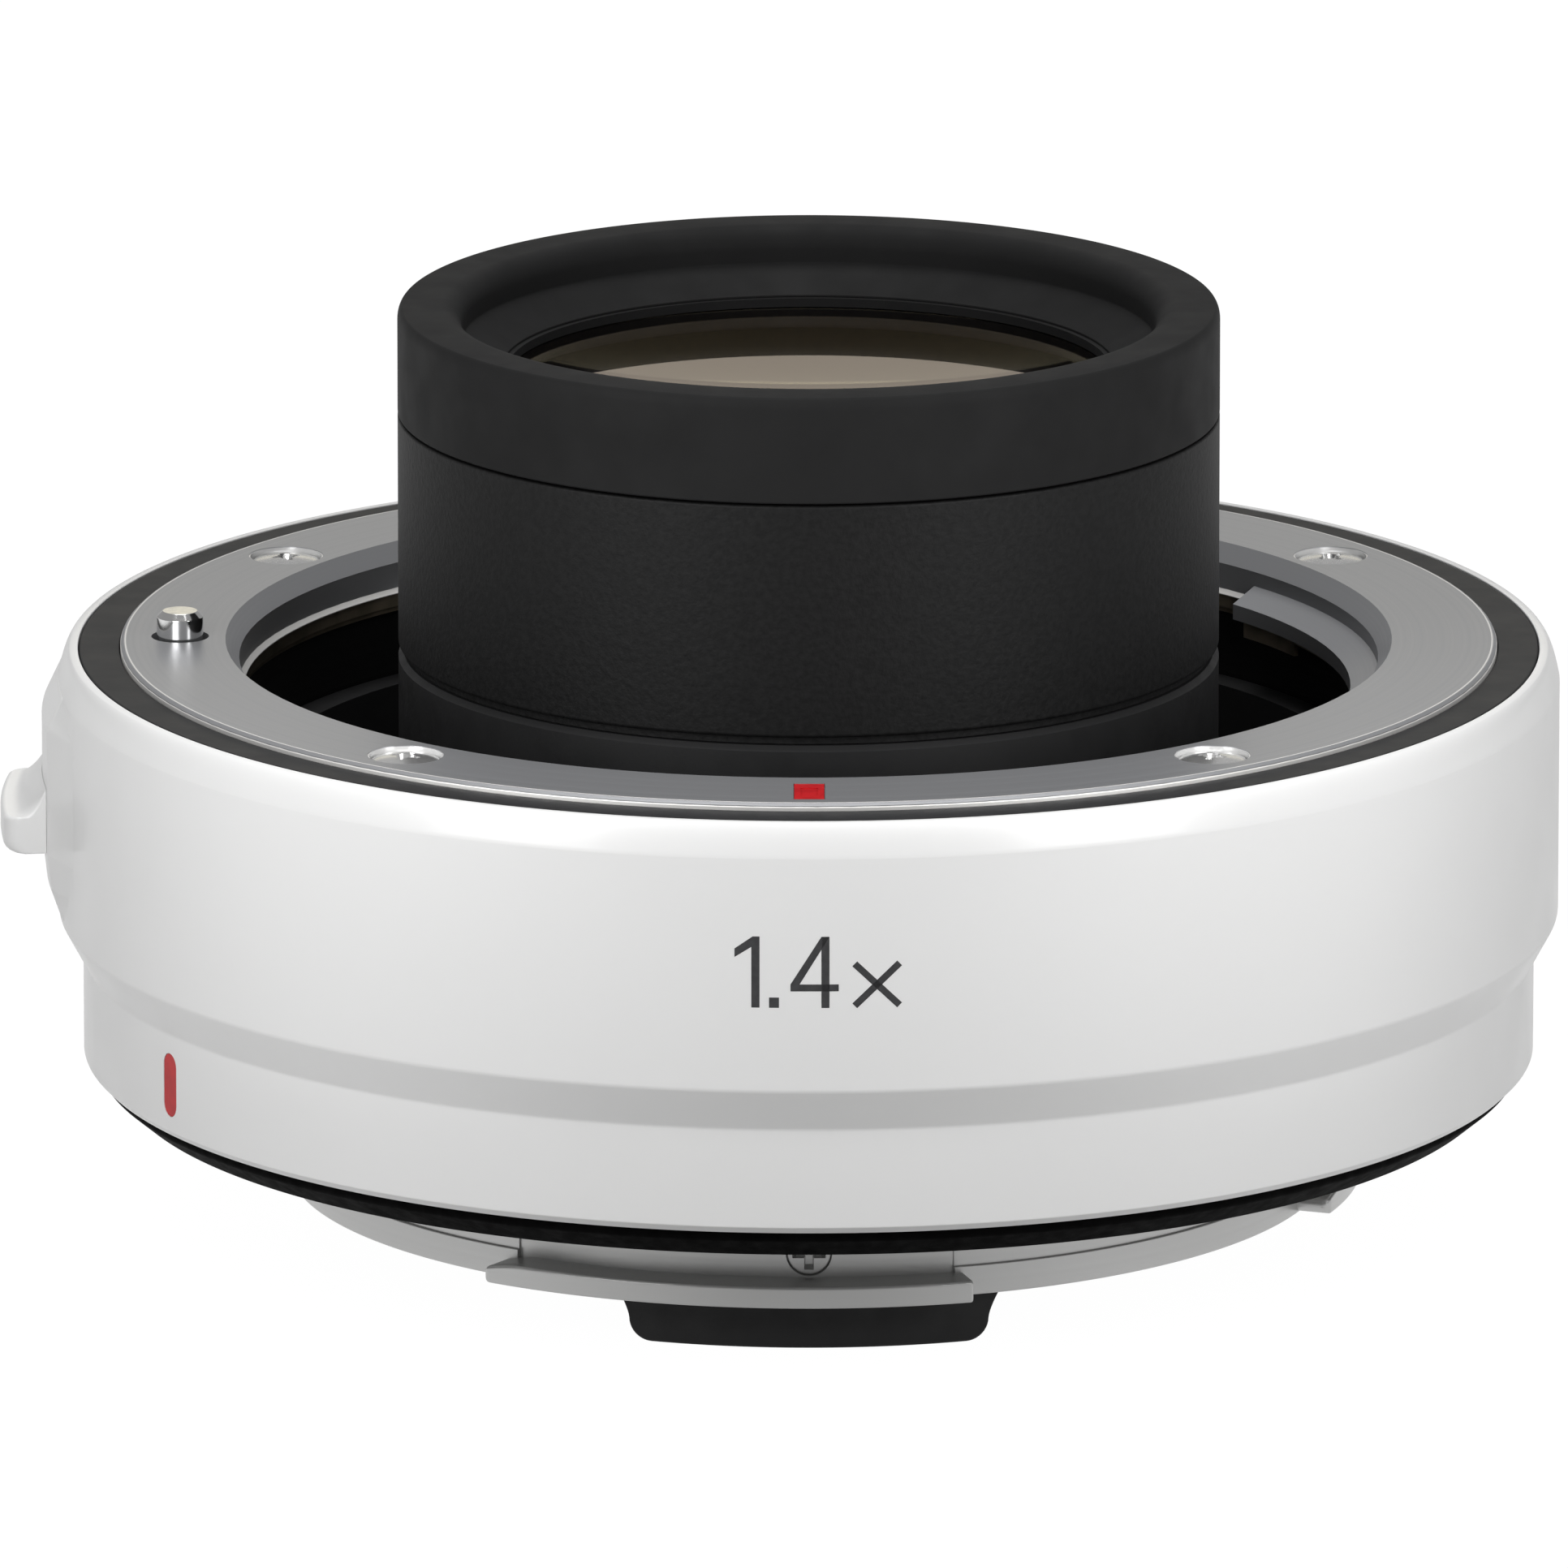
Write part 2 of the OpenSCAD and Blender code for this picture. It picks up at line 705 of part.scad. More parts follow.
module front_mount() {
  counterbore_r = face_screw_head_d / 2 + counterbore_gap;
  color("silver")
    difference() {
      union() {
        rotate_extrude()
          polygon([
            [throat_r + free_gap, mount_z], [mount_r, mount_z], [mount_r, body_len - mount_bevel],
            [mount_r - mount_bevel, body_len], [throat_r + throat_bevel_w, body_len],
            [throat_r, body_len - throat_bevel_h], [throat_r, mount_z + free_gap]
          ]);
        for (span = tab_spans) mount_tab(span);
      }
      for (a = face_screw_angles)
        at(a) {
          post(counterbore_r, face_screw_r, body_len - face_screw_sink, body_len + past);
          post(face_screw_d / 2 + hole_gap, face_screw_r, mount_z - past, body_len);
        }
      at(lock_angle) post(pin_hole_d / 2, lock_r, mount_z - past, body_len + past);
      block(mark_w, mark_mid_r - mark_len / 2, mark_mid_r + mark_len / 2,
            body_len - inlay_t, body_len + past);
    }
}

module mount_tab(span) {
  tip_r = throat_r - tab_reach;
  root_r = throat_r + tab_root_w;
  step_z = mount_z + tab_root_h;
  root_z = tab_root_z + tab_slope * (root_r - throat_r) / tab_reach;
  rotate([0, 0, span[0] - 90])
    rotate_extrude(angle = span[1] - span[0])
      polygon([
        [tip_r, tab_base], [throat_r - run_gap, tab_base], [throat_r - run_gap, step_z],
        [root_r, step_z], [root_r, root_z], [tip_r, tab_tip_z]
      ]);
}

module front_mount_screws() {
  head_t = face_screw_sink - close_gap;
  color("lightgray")
    for (a = face_screw_angles)
      at(a)
        translate([0, -face_screw_r, body_len - face_screw_sink + seat_gap])
          pan_screw(face_screw_head_d / 2, head_t, face_screw_d / 2, mount_t + shim_t + thread_in);
}

module front_index_mark() {
  in_w = mark_w * 0.55;
  in_len = mark_len * 0.5;
  top = body_len - seat_gap;
  color("red")
    difference() {
      block(mark_w - 2 * seat_gap, mark_mid_r - mark_len / 2 + seat_gap,
            mark_mid_r + mark_len / 2 - seat_gap, body_len - inlay_t + seat_gap, top);
      block(in_w, mark_mid_r - in_len / 2, mark_mid_r + in_len / 2, top - inlay_t / 3, top + past);
    }
}

module front_shim() {
  color("goldenrod")
    difference() {
      ring(mount_r - free_gap, frame_in_r + 2 * free_gap, frame_top + seat_gap, mount_z - seat_gap);
      for (a = face_screw_angles)
        at(a) post(face_screw_d / 2 + free_gap, face_screw_r, frame_top - past, mount_z + past);
      at(lock_angle) post(pin_hole_d / 2, lock_r, frame_top - past, mount_z + past);
    }
}

module mount_spring_ring() {
  wall_r = frame_in_r - seat_gap;
  leaf_in_r = throat_r - tab_reach + free_gap;
  color("peru")
    union() {
      ring(wall_r, wall_r - leaf_t, leaf_top - leaf_t, frame_top + close_gap);
      for (span = tab_spans)
        ring_arc(wall_r - leaf_t / 2, leaf_in_r, leaf_top - leaf_t, leaf_top, span[0] + 1, span[1] - 1);
      ring_arc(leaf_in_r + leaf_t, leaf_in_r, leaf_top - leaf_t - leaf_lip, leaf_top,
               tab_spans[1][1] - 1 - leaf_tab_angle, tab_spans[1][1] - 1);
    }
}

module main_frame() {
  color("slategray")
    difference() {
      union() {
        ring(frame_r, frame_in_r, top_flange_z, frame_top);
        ring(frame_wall_r, frame_in_r, frame_base, frame_top);
        ring(frame_wall_r, cell_r + nest_gap, floor_base, floor_z);
        ring(frame_low_r, frame_in_r, frame_base, base_flange_top);
        for (a = board_screw_angles)
          at(a) post(boss_r, board_screw_r, board_top + seat_gap, floor_base + close_gap);
      }
      for (a = face_screw_angles)
        at(a) post(face_screw_d / 2 + thread_gap, face_screw_r, top_flange_z - past, frame_top + past);
      at(lock_angle) post(bush_r + thread_gap, lock_r, top_flange_z - past, frame_top + past);
      for (a = barrel_screw_angles)
        at(a) post(small_screw_d / 2 + thread_gap, barrel_screw_r, floor_base - past, floor_z - free_gap);
      for (a = board_screw_angles)
        at(a) post(small_screw_d / 2 + thread_gap, board_screw_r, board_top - past, floor_base + floor_t / 2);
      for (a = rear_screw_angles)
        at(a) post(rear_screw_d / 2 + thread_gap, rear_screw_r, frame_base - past, base_flange_top + past);
      at(lock_angle)
        for (side = [-1, 1])
          translate([side * bracket_screw_x, 0, 0])
            post(small_screw_d / 2 + thread_gap, bracket_screw_r,
                 frame_base + free_gap, base_flange_top + past);
      front_block_shape(front_block_w + 2 * nest_gap, front_block_r + nest_gap,
                        front_block_in_r - nest_gap, floor_base - past, floor_z + past);
    }
}

module throat_liner() {
  base = floor_z + seat_gap;
  floor_top = base + liner_floor_t;
  wall_top = floor_z + liner_h;
  color([0.12, 0.12, 0.12])
    difference() {
      rotate_extrude()
        polygon([
          [cell_r + nest_gap, base], [liner_r, base], [liner_r, wall_top],
          [liner_r - liner_wall, wall_top], [liner_r - liner_wall, floor_top],
          [barrel_r, floor_top], [barrel_r, foot_z - foot_edge], [barrel_r - foot_edge, foot_z],
          [cell_r + nest_gap, foot_z]
        ]);
      front_block_shape(front_block_w + 2 * (block_lip + close_gap), front_block_r + block_lip + close_gap,
                        front_block_in_r - block_lip - close_gap, floor_z - past, wall_top + past);
    }
}

// A slice of a ring with straight sides, at the front
module front_block_shape(w, out_r, in_r, base, top) {
  intersection() {
    ring(out_r, in_r, base, top);
    block(w, 1, out_r + past, base - past, top + past);
  }
}

module lens_cell() {
  color([0.15, 0.15, 0.15])
    difference() {
      rotate_extrude()
        polygon([
          [cell_r, cell_base], [cell_r, cell_flange_base], [cell_flange_r, cell_flange_base],
          [cell_flange_r, cell_flange_base + cell_flange_t],
          [cell_r, cell_flange_base + cell_flange_t], [cell_r, cell_top], [cell_top_r, cell_top],
          [cell_top_r, cell_step], [lens_bore_r, cell_step], [lens_bore_r, cell_seat],
          [clear_r, cell_seat], [clear_r, cell_seat - cell_seat_t],
          [rear_bore_r, cell_seat - cell_seat_t], [rear_bore_r, cell_base]
        ]);
      for (a = barrel_screw_angles)
        at(a) post(small_screw_d / 2 + hole_gap, barrel_screw_r, cell_flange_base - past, floor_base);
      front_block_shape(front_block_w + 2 * free_gap, front_block_r + free_gap, front_block_in_r - free_gap,
                        cell_flange_base - past, floor_base);
    }
}

module barrel_sleeve() {
  in_r = cell_r + nest_gap;
  lip_r = barrel_r - foot_edge - close_gap;
  lip_z = foot_z + 2 * seat_gap;
  top = seam_z - seam_gap / 2;
  color([0.14, 0.14, 0.14])
    rotate_extrude()
      polygon([
        [in_r, lip_z], [lip_r, lip_z], [lip_r, sleeve_z], [barrel_r - foot_edge, sleeve_z],
        [barrel_r, sleeve_z + foot_edge], [barrel_r, top - close_gap],
        [barrel_r - close_gap, top], [in_r, top]
      ]);
}

module barrel_hood() {
  base = seam_z + seam_gap / 2;
  rim = [hood_lip, hood_lip];
  outer = arc([barrel_r - hood_round_w, barrel_top - hood_round_h], [hood_round_w, hood_round_h], 0, 90);
  inner = arc([hood_open_r + hood_lip, barrel_top - hood_lip], rim, 90, 180);
  color([0.16, 0.16, 0.16])
    rotate_extrude()
      polygon(concat(
        [
          [lens_bore_r, spigot_base], [cell_top_r - nest_gap, spigot_base], [cell_top_r - nest_gap, base],
          [barrel_r - close_gap, base], [barrel_r, base + close_gap]
        ],
        outer,
        inner,
        [[hood_open_r, ledge_top], [front_clear_r + ledge_lip, ledge_base], [lens_bore_r, ledge_base]]
      ));
}

module front_retaining_ring() {
  color([0.05, 0.05, 0.05])
    ring(lens_r, front_clear_r, stack_top + seat_gap, ledge_base - seat_gap);
}

module glass() {
  color([0.55, 0.52, 0.42, 0.5]) children();
}

module lens_1() {
  glass() lens(0, lens_1_base);
}

module lens_2() {
  glass() lens(1, lens_2_base);
}

module lens_3() {
  glass() lens(2, lens_3_base);
}

module lens_4() {
  glass() lens(3, lens_4_base);
}

module lens_5() {
  glass() lens(4, lens_5_base);
}

module lens_6() {
  glass() lens(5, lens_6_base);
}

module lens_7() {
  glass() lens(6, lens_7_base);
}

module spacer(base, length) {
  color([0.1, 0.1, 0.1]) ring(lens_r, clear_r + close_gap, base, base + length);
}

module front_spacer() {
  spacer(front_spacer_base, front_gap);
}

module middle_spacer() {
  spacer(middle_spacer_base, middle_gap);
}

module rear_spacer() {
  spacer(rear_spacer_base, rear_gap);
}

module rear_retaining_ring() {
  color([0.1, 0.1, 0.1])
    difference() {
      ring(rear_bore_r - nest_gap, clear_r + close_gap, rear_ring_base, rear_ring_base + rear_ring_t);
      for (a = [90, 270])
        at(a)
          block(slot_w, clear_r, clear_r + slot_w, rear_ring_base - past, rear_ring_base + rear_ring_t / 2);
    }
}

// Small screws that enter from below, with their heads down
module small_screws_up(angles, dist, seat, length) {
  color("lightgray")
    for (a = angles)
      at(a)
        translate([0, -dist, seat - seat_gap])
          mirror([0, 0, 1])
            pan_screw(small_head_d / 2, small_head_t, small_screw_d / 2, length);
}

module barrel_screws() {
  small_screws_up(barrel_screw_angles, barrel_screw_r, cell_flange_base, cell_flange_t + floor_t / 2);
}

module board_screws() {
  small_screws_up(board_screw_angles, board_screw_r, board_base, board_t + thread_in);
}

module rear_mount() {
  color("silver")
    difference() {
      union() {
        disc(flange_r, 0, flange_t);
        disc(spigot_r, -spigot_h, close_gap);
        disc(neck_r - neck_relief, -neck_len + close_gap, close_gap);
        disc(neck_r, -neck_len, band_top);
        for (span = lug_spans)
          ring_arc(lug_r, neck_r - neck_wall / 2, lug_base, lug_top, span[0], span[1]);
      }
      disc(neck_in_r, -neck_len - past, flange_t + past);
      for (a = rear_screw_angles)
        at(a)
          translate([0, -rear_screw_r, rear_screw_sink])
            mirror([0, 0, 1])
              sunk_hole(rear_screw_head_d / 2 + head_gap, rear_screw_d / 2 + head_gap, flange_t + past);
      at(lock_angle) post(lock_hole_r, lock_r, -past, flange_t + past);
      for (a = neck_screw_angles)
        at(a)
          neck_screw_place()
            sunk_hole(neck_screw_head_d / 2 + head_gap, neck_screw_d / 2 + head_gap, neck_wall + 2 * past);
    }
}

// The seat of a neck screw: its head flush with the neck, its thread pointing inwards
module neck_screw_place() {
  translate([0, -neck_r + neck_relief + head_gap, neck_screw_z])
    rotate([90, 0, 0])
      children();
}

module neck_screws() {
  color("lightgray")
    for (a = neck_screw_angles)
      at(a) neck_screw_place() sunk_screw(neck_screw_head_d / 2, neck_screw_d / 2, neck_wall + neck_screw_in);
}

module rear_shim() {
  color("goldenrod")
    difference() {
      ring(flange_r - slide_gap, frame_in_r + close_gap, flange_t + seat_gap, frame_base - seat_gap);
      for (a = rear_screw_angles)
        at(a) post(rear_screw_d / 2 + hole_gap, rear_screw_r, 0, frame_base + past);
    }
}

module rear_mount_screws() {
  color("lightgray")
    for (a = rear_screw_angles)
      at(a)
        translate([0, -rear_screw_r, rear_screw_sink])
          mirror([0, 0, 1])
            sunk_screw(rear_screw_head_d / 2, rear_screw_d / 2, flange_t + shim_t + thread_in);
}

module rear_seal() {
  rib_top = lip_top - free_gap;
  color([0.1, 0.1, 0.1])
    rotate_extrude()
      polygon([
        [seal_in_r, -seal_drop], [seal_r - seal_taper, -seal_drop], [seal_r, -seal_band],
        [seal_r, seal_top], [seal_rib_r, seal_top], [seal_rib_r, rib_top], [seal_in_r, rib_top]
      ]);
}

module rounded_rect(w, h, r) {
  square([w - 2 * r, h], center = true);
  square([w, h - 2 * r], center = true);
  for (x = [-1, 1], y = [-1, 1])
    translate([x * (w / 2 - r), y * (h / 2 - r)]) circle(r = r);
}

module rear_baffle() {
  plate_base = baffle_top - baffle_t;
  notch = block_top_w / 2 + slide_gap;
  notch_r = sqrt(pow(block_in_r, 2) - pow(notch, 2)) - free_gap;
  color([0.09, 0.09, 0.09])
    difference() {
      union() {
        ring(baffle_r, baffle_r - baffle_wall, baffle_base, baffle_top);
        disc(baffle_r - baffle_wall / 2, plate_base, baffle_top);
      }
      translate([0, 0, plate_base - past])
        linear_extrude(height = baffle_t + 2 * past)
          rounded_rect(window_w, window_h, window_corner);
      block(2 * notch, notch_r, baffle_r + past, baffle_base - past, baffle_top + past);
      for (a = neck_screw_angles)
        at(a)
          spoke(neck_screw_d / 2 + thread_gap, baffle_r - baffle_wall - past,
                baffle_r + past, neck_screw_z);
    }
}

// The rear contact block seen from the front: sides that lean in below the neck, and rounded feet
module block_outline() {
  half_top = block_top_w / 2;
  half_foot = block_foot_w / 2;
  foot = arc([half_foot - block_round, block_round - block_reach], [block_round, block_round], -90, 0);
  polygon(concat(
    foot,
    [[half_top, block_lean_z], [half_top, baffle_top], [-half_top, baffle_top], [-half_top, block_lean_z]],
    [for (i = [len(foot) - 1:-1:0]) [-foot[i][0], foot[i][1]]]
  ));
}

module rear_contact_block() {
  color([0.13, 0.13, 0.13])
    difference() {
      intersection() {
        translate([0, -block_in_r + 2 * past, 0])
          rotate([90, 0, 0])
            linear_extrude(height = block_depth + 4 * past)
              block_outline();
        ring(block_r, block_in_r, -block_reach - past, past);
      }
      spoke(neck_screw_d / 2 + thread_gap, block_r - neck_screw_grip, block_r + past, neck_screw_z);
      for (i = [0:contact_count - 1])
        at(contact_angle(i, block_pad_r))
          block(pad_size[0] + 2 * seat_gap, block_pad_r - pad_size[1] / 2 - seat_gap,
                block_pad_r + pad_size[1] / 2 + seat_gap, -block_reach - past, -block_reach + pad_t);
    }
}

function contact_angle(i, r) = (i - (contact_count - 1) / 2) * 2 * asin(contact_pitch / 2 / r);

module rear_contact_pads() {
  color("gold")
    for (i = [0:contact_count - 1])
      at(contact_angle(i, block_pad_r))
        block(pad_size[0], block_pad_r - pad_size[1] / 2, block_pad_r + pad_size[1] / 2,
              -block_reach + thread_gap, -block_reach + pad_t - seat_gap);
}

module front_contact_block() {
  color([0.11, 0.11, 0.11])
    difference() {
      union() {
        front_block_shape(front_block_w, front_block_r, front_block_in_r, front_block_base, front_block_top);
        front_block_shape(front_block_w + 2 * block_lip, front_block_r + block_lip,
                          front_block_in_r - block_lip, floor_z + seat_gap, floor_z + block_lip_t);
      }
      for (i = [0:contact_count - 1])
        at(contact_angle(i, contact_r)) {
          post(contact_d / 2 + run_gap, contact_r, front_block_base - past, front_block_top + past);
          post(contact_collar_r + run_gap, contact_r, front_block_base - past, contact_roof);
        }
    }
}

module front_contact_pins() {
  color("gold")
    for (i = [0:contact_count - 1])
      at(contact_angle(i, contact_r)) {
        post(contact_d / 2, contact_r, contact_collar_base, front_block_top + contact_out - contact_d / 2);
        translate([0, -contact_r, front_block_top + contact_out - contact_d / 2]) sphere(r = contact_d / 2);
        post(contact_collar_r, contact_r, contact_collar_base, contact_collar_top);
      }
}

module contact_springs() {
  color("silver")
    for (i = [0:contact_count - 1])
      at(contact_angle(i, contact_r))
        translate([0, -contact_r, 0])
          coil(contact_spring_r, contact_wire_d / 2, contact_spring_base,
               contact_collar_base - seat_gap, 4, 6, 4);
}

module circuit_board() {
  color("darkgreen")
    difference() {
      ring_arc(board_r, board_in_r, board_base, board_top, -board_half_angle, board_half_angle);
      for (a = board_screw_angles)
        at(a) post(small_screw_d / 2 + hole_gap, board_screw_r, board_base - past, board_top + past);
    }
}

module board_chips() {
  top = board_base - seat_gap;
  color([0.2, 0.2, 0.2])
    for (chip = chips)
      at(chip[0])
        block(chip[1], chip_r - chip[2] / 2, chip_r + chip[2] / 2, top - chip_t, top);
}

module front_flex() {
  top = front_block_base - seat_gap;
  edge = front_block_r - slide_gap;
  color("chocolate")
    union() {
      block(front_block_w - 2 * flex_inset, front_block_in_r + 2 * flex_inset, edge, top - flex_t, top);
      block(flex_w, edge - flex_t, edge, board_top + seat_gap, top);
    }
}

module rear_flex() {
  color("chocolate")
    block(flex_w, rear_flex_y - flex_t / 2, rear_flex_y + flex_t / 2,
          baffle_top + seat_gap, board_base - seat_gap);
}

module lock_pin() {
  top = body_len + pin_out;
  color("lightgray")
    at(lock_angle) {
      post(pin_r, lock_r, collar_base, top - pin_edge);
      translate([0, -lock_r, top - pin_edge]) cylinder(r1 = pin_r, r2 = pin_r - pin_edge, h = pin_edge);
      post(collar_r, lock_r, collar_base, collar_top);
      post(pin_stem_r, lock_r, pin_base, collar_base + close_gap);
    }
}

module lock_pin_bush() {
  color("goldenrod")
    at(lock_angle)
      difference() {
        post(bush_r, lock_r, top_flange_z, frame_top);
        post(pin_r + run_gap, lock_r, top_flange_z - past, frame_top + past);
      }
}

module lock_pin_spring() {
  mean_r = (pin_stem_r + collar_r) / 2;
  color("silver")
    at(lock_angle)
      translate([0, -lock_r, 0])
        coil(mean_r, spring_wire_d / 2, bracket_top + seat_gap, collar_base - seat_gap, 8, 8, 6);
}

// The knob's outline: distance from the axis, then height above its flat underside
module knob_outline() {
  tip = arc([knob_r - knob_round, knob_round], [knob_round, knob_round], -90, 0, 4);
  nose = arc([knob_r - knob_nose, knob_tip_h - knob_nose], [knob_nose, knob_nose], 0, 90, 4);
  scoop = [
    for (i = [0:scoop_steps])
      let (t = i / scoop_steps)
      [scoop_r + (knob_back_r - scoop_r) * t, knob_tip_h + (knob_h - knob_tip_h) * pow(t, scoop_turn)]
  ];
  polygon(concat([[knob_back_r, 0]], tip, nose, scoop));
}

// The knob seen from above: a slice of a ring with rounded corners
module knob_plan() {
  corner = knob_corner;
  turn = asin((knob_w / 2 - corner) / (knob_r - corner));
  intersection() {
    circle(r = knob_r);
    union() {
      translate([-knob_w / 2, -knob_r + corner]) square([knob_w, knob_out]);
      translate([-knob_w / 2 + corner, -knob_r]) square([knob_w - 2 * corner, knob_out]);
      for (side = [-1, 1])
        rotate(side * turn) translate([0, -knob_r + corner]) circle(r = corner);
    }
  }
}

module release_lever() {
  color("white")
    at(lock_angle)
      difference() {
        union() {
          intersection() {
            translate([0, 0, knob_z]) rotate_extrude() knob_outline();
            translate([0, 0, knob_z - past]) linear_extrude(height = knob_h + 2 * past) knob_plan();
          }
          block(stem_w, carriage_r + seat_gap, knob_back_r + free_gap, stem_base, stem_base + stem_h);
        }
        spoke(small_screw_d / 2 + thread_gap, carriage_r - past, knob_back_r + 2 * free_gap, lever_screw_z);
      }
}

module lever_carriage() {
  color("dimgray")
    at(lock_angle)
      difference() {
        union() {
          block(carriage_w, carriage_in_r, carriage_r, carriage_base, fork_top);
          block(tongue_w, tongue_r, carriage_in_r + close_gap, carriage_base + tongue_lift, collar_top);
          block(fork_w, lock_r - collar_r + close_gap, carriage_in_r + close_gap, fork_base, fork_top);
        }
        post(pin_r + hole_gap, lock_r, fork_base - past, fork_top + past);
        spoke(small_screw_d / 2 + head_gap, tongue_r - past, carriage_r + past, lever_screw_z);
        spoke(small_head_d / 2 + head_gap, tongue_r - past, tongue_r + lever_screw_sink, lever_screw_z);
      }
}

module lever_screw() {
  seat = tongue_r + lever_screw_sink - seat_gap;
  color("lightgray")
    at(lock_angle)
      translate([0, -seat, lever_screw_z])
        rotate([-90, 0, 0])
          pan_screw(small_head_d / 2, lever_screw_sink - head_gap,
                    small_screw_d / 2, knob_back_r + free_gap - seat);
}

module lever_bracket() {
  rail_x = tongue_w / 2 + 0.75 * slide_gap;
  half_w = rail_x + rail_w;
  shelf_r = sqrt(pow(bore_low_r - slide_gap, 2) - pow(half_w, 2));
  seat = base_flange_top + seat_gap;
  color("darkgray")
    at(lock_angle)
      difference() {
        union() {
          block(2 * half_w, frame_wall_r + free_gap, shelf_r, seat, bracket_top);
          for (side = [-1, 1])
            translate([side * (rail_x + rail_w / 2), 0, 0])
              block(rail_w, rail_in_r, min(rail_r, shelf_r), seat, top_flange_z - free_gap);
        }
        for (side = [-1, 1])
          translate([side * bracket_screw_x, 0, 0])
            post(small_screw_d / 2 + hole_gap, bracket_screw_r, seat - past, bracket_top + past);
      }
}

module bracket_screws() {
  color("lightgray")
    at(lock_angle)
      for (side = [-1, 1])
        translate([side * bracket_screw_x, -bracket_screw_r, bracket_top + seat_gap])
          pan_screw(small_head_d / 2, small_head_t, small_screw_d / 2, bracket_t + thread_in);
}

outer_casing();
casing_index_line();
front_trim_ring();
front_mount();
front_mount_screws();
front_index_mark();
front_shim();
mount_spring_ring();
main_frame();
throat_liner();
lens_cell();
barrel_sleeve();
barrel_hood();
front_retaining_ring();
lens_1();
lens_2();
front_spacer();
lens_3();
lens_4();
middle_spacer();
lens_5();
lens_6();
rear_spacer();
lens_7();
rear_retaining_ring();
barrel_screws();
rear_mount();
rear_shim();
rear_mount_screws();
rear_seal();
rear_baffle();
neck_screws();
rear_contact_block();
rear_contact_pads();
front_contact_block();
front_contact_pins();
contact_springs();
circuit_board();
board_chips();
board_screws();
front_flex();
rear_flex();
lock_pin();
lock_pin_bush();
lock_pin_spring();
release_lever();
lever_carriage();
lever_screw();
lever_bracket();
bracket_screws();
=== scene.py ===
# %% [markdown]
# # A camera teleconverter, dressed piece by piece
# The solids of this part arrive as a finished frame: every ring, screw and lens is already in its
# place and already moves on its joint. This lesson gives them the look of the real object. Some
# solids only need a better finish. Others are made again, because a real turned or moulded piece
# has soft edges that catch the light, and those edges have to be there in the mesh.

import json
import math

import bmesh
import bpy
from mathutils import Euler, Matrix, Vector

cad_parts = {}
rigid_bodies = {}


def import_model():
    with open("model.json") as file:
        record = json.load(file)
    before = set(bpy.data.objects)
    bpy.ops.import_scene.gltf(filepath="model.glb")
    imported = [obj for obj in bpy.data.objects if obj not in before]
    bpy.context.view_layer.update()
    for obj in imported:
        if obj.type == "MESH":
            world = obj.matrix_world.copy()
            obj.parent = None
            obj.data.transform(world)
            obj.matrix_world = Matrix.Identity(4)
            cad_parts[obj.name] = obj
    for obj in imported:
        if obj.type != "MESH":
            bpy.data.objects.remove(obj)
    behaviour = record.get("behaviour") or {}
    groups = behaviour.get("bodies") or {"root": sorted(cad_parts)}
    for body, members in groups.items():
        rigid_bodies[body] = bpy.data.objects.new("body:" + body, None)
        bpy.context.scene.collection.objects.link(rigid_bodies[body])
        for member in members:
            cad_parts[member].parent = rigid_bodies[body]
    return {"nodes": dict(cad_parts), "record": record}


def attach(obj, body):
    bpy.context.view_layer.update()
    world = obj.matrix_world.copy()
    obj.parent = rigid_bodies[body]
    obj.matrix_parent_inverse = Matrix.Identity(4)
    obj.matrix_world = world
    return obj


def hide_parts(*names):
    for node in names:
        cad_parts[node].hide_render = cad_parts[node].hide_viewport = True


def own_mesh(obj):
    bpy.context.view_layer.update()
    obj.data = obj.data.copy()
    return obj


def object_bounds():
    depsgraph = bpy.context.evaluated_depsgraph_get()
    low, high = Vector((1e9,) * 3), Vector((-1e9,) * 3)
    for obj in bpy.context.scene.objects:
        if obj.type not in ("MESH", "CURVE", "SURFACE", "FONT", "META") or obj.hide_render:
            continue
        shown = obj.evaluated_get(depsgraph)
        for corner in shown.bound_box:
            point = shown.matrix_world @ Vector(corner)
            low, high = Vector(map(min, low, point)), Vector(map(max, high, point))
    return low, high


for old in list(bpy.data.objects):
    bpy.data.objects.remove(old)
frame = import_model()
cad_low, cad_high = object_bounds()
nodes = frame["nodes"]
MM = 0.001
print("solids:", len(nodes), "box in mm:", [round(v / MM, 2) for v in (*cad_low, *cad_high)])

# %% [markdown]
# ## Sizes
# The frame gives each solid's box, but not the radii inside it. The sizes that several pieces share
# are written once here, in millimetres, with the rear flange plane at height 0. A size that only one
# piece needs stands in that piece's own cell. Angles are counted round the axis from the front.

# %% Sizes that several pieces share
FACE_Z = 20.3
CASING_R, CASING_LOW_R = 35.61, 34.47
LOCK_R, LOCK_ANGLE = 29.8, -90.0
NECK_R = 24.75


def around(angle, radius, height):
    """A point in metres at an angle that is counted from the front towards the right."""
    a = math.radians(angle)
    return Vector((radius * math.sin(a), -radius * math.cos(a), height)) * MM


print("the lock pin stands at", [round(v, 4) for v in around(LOCK_ANGLE, LOCK_R, FACE_Z)])

# %% [markdown]
# ## Outlines with soft corners
# Most pieces here were turned on a lathe, so their mesh is an outline spun round the axis. A corner
# of the outline can be rounded by an arc. Next to the arc sits one more point on each side, a
# holding point, so that smooth shading stays inside the arc and the flats beside it stay flat. A
# Bevel modifier could round the corners too, but here each corner names its own rounding. Two of
# them come back on many pieces: a fine edge and a soft edge.

# %% Round the corners of an outline
HOLD = 0.03
FINE_EDGE, SOFT_EDGE = 0.04, 0.1
SIDE_SHARE = 0.45


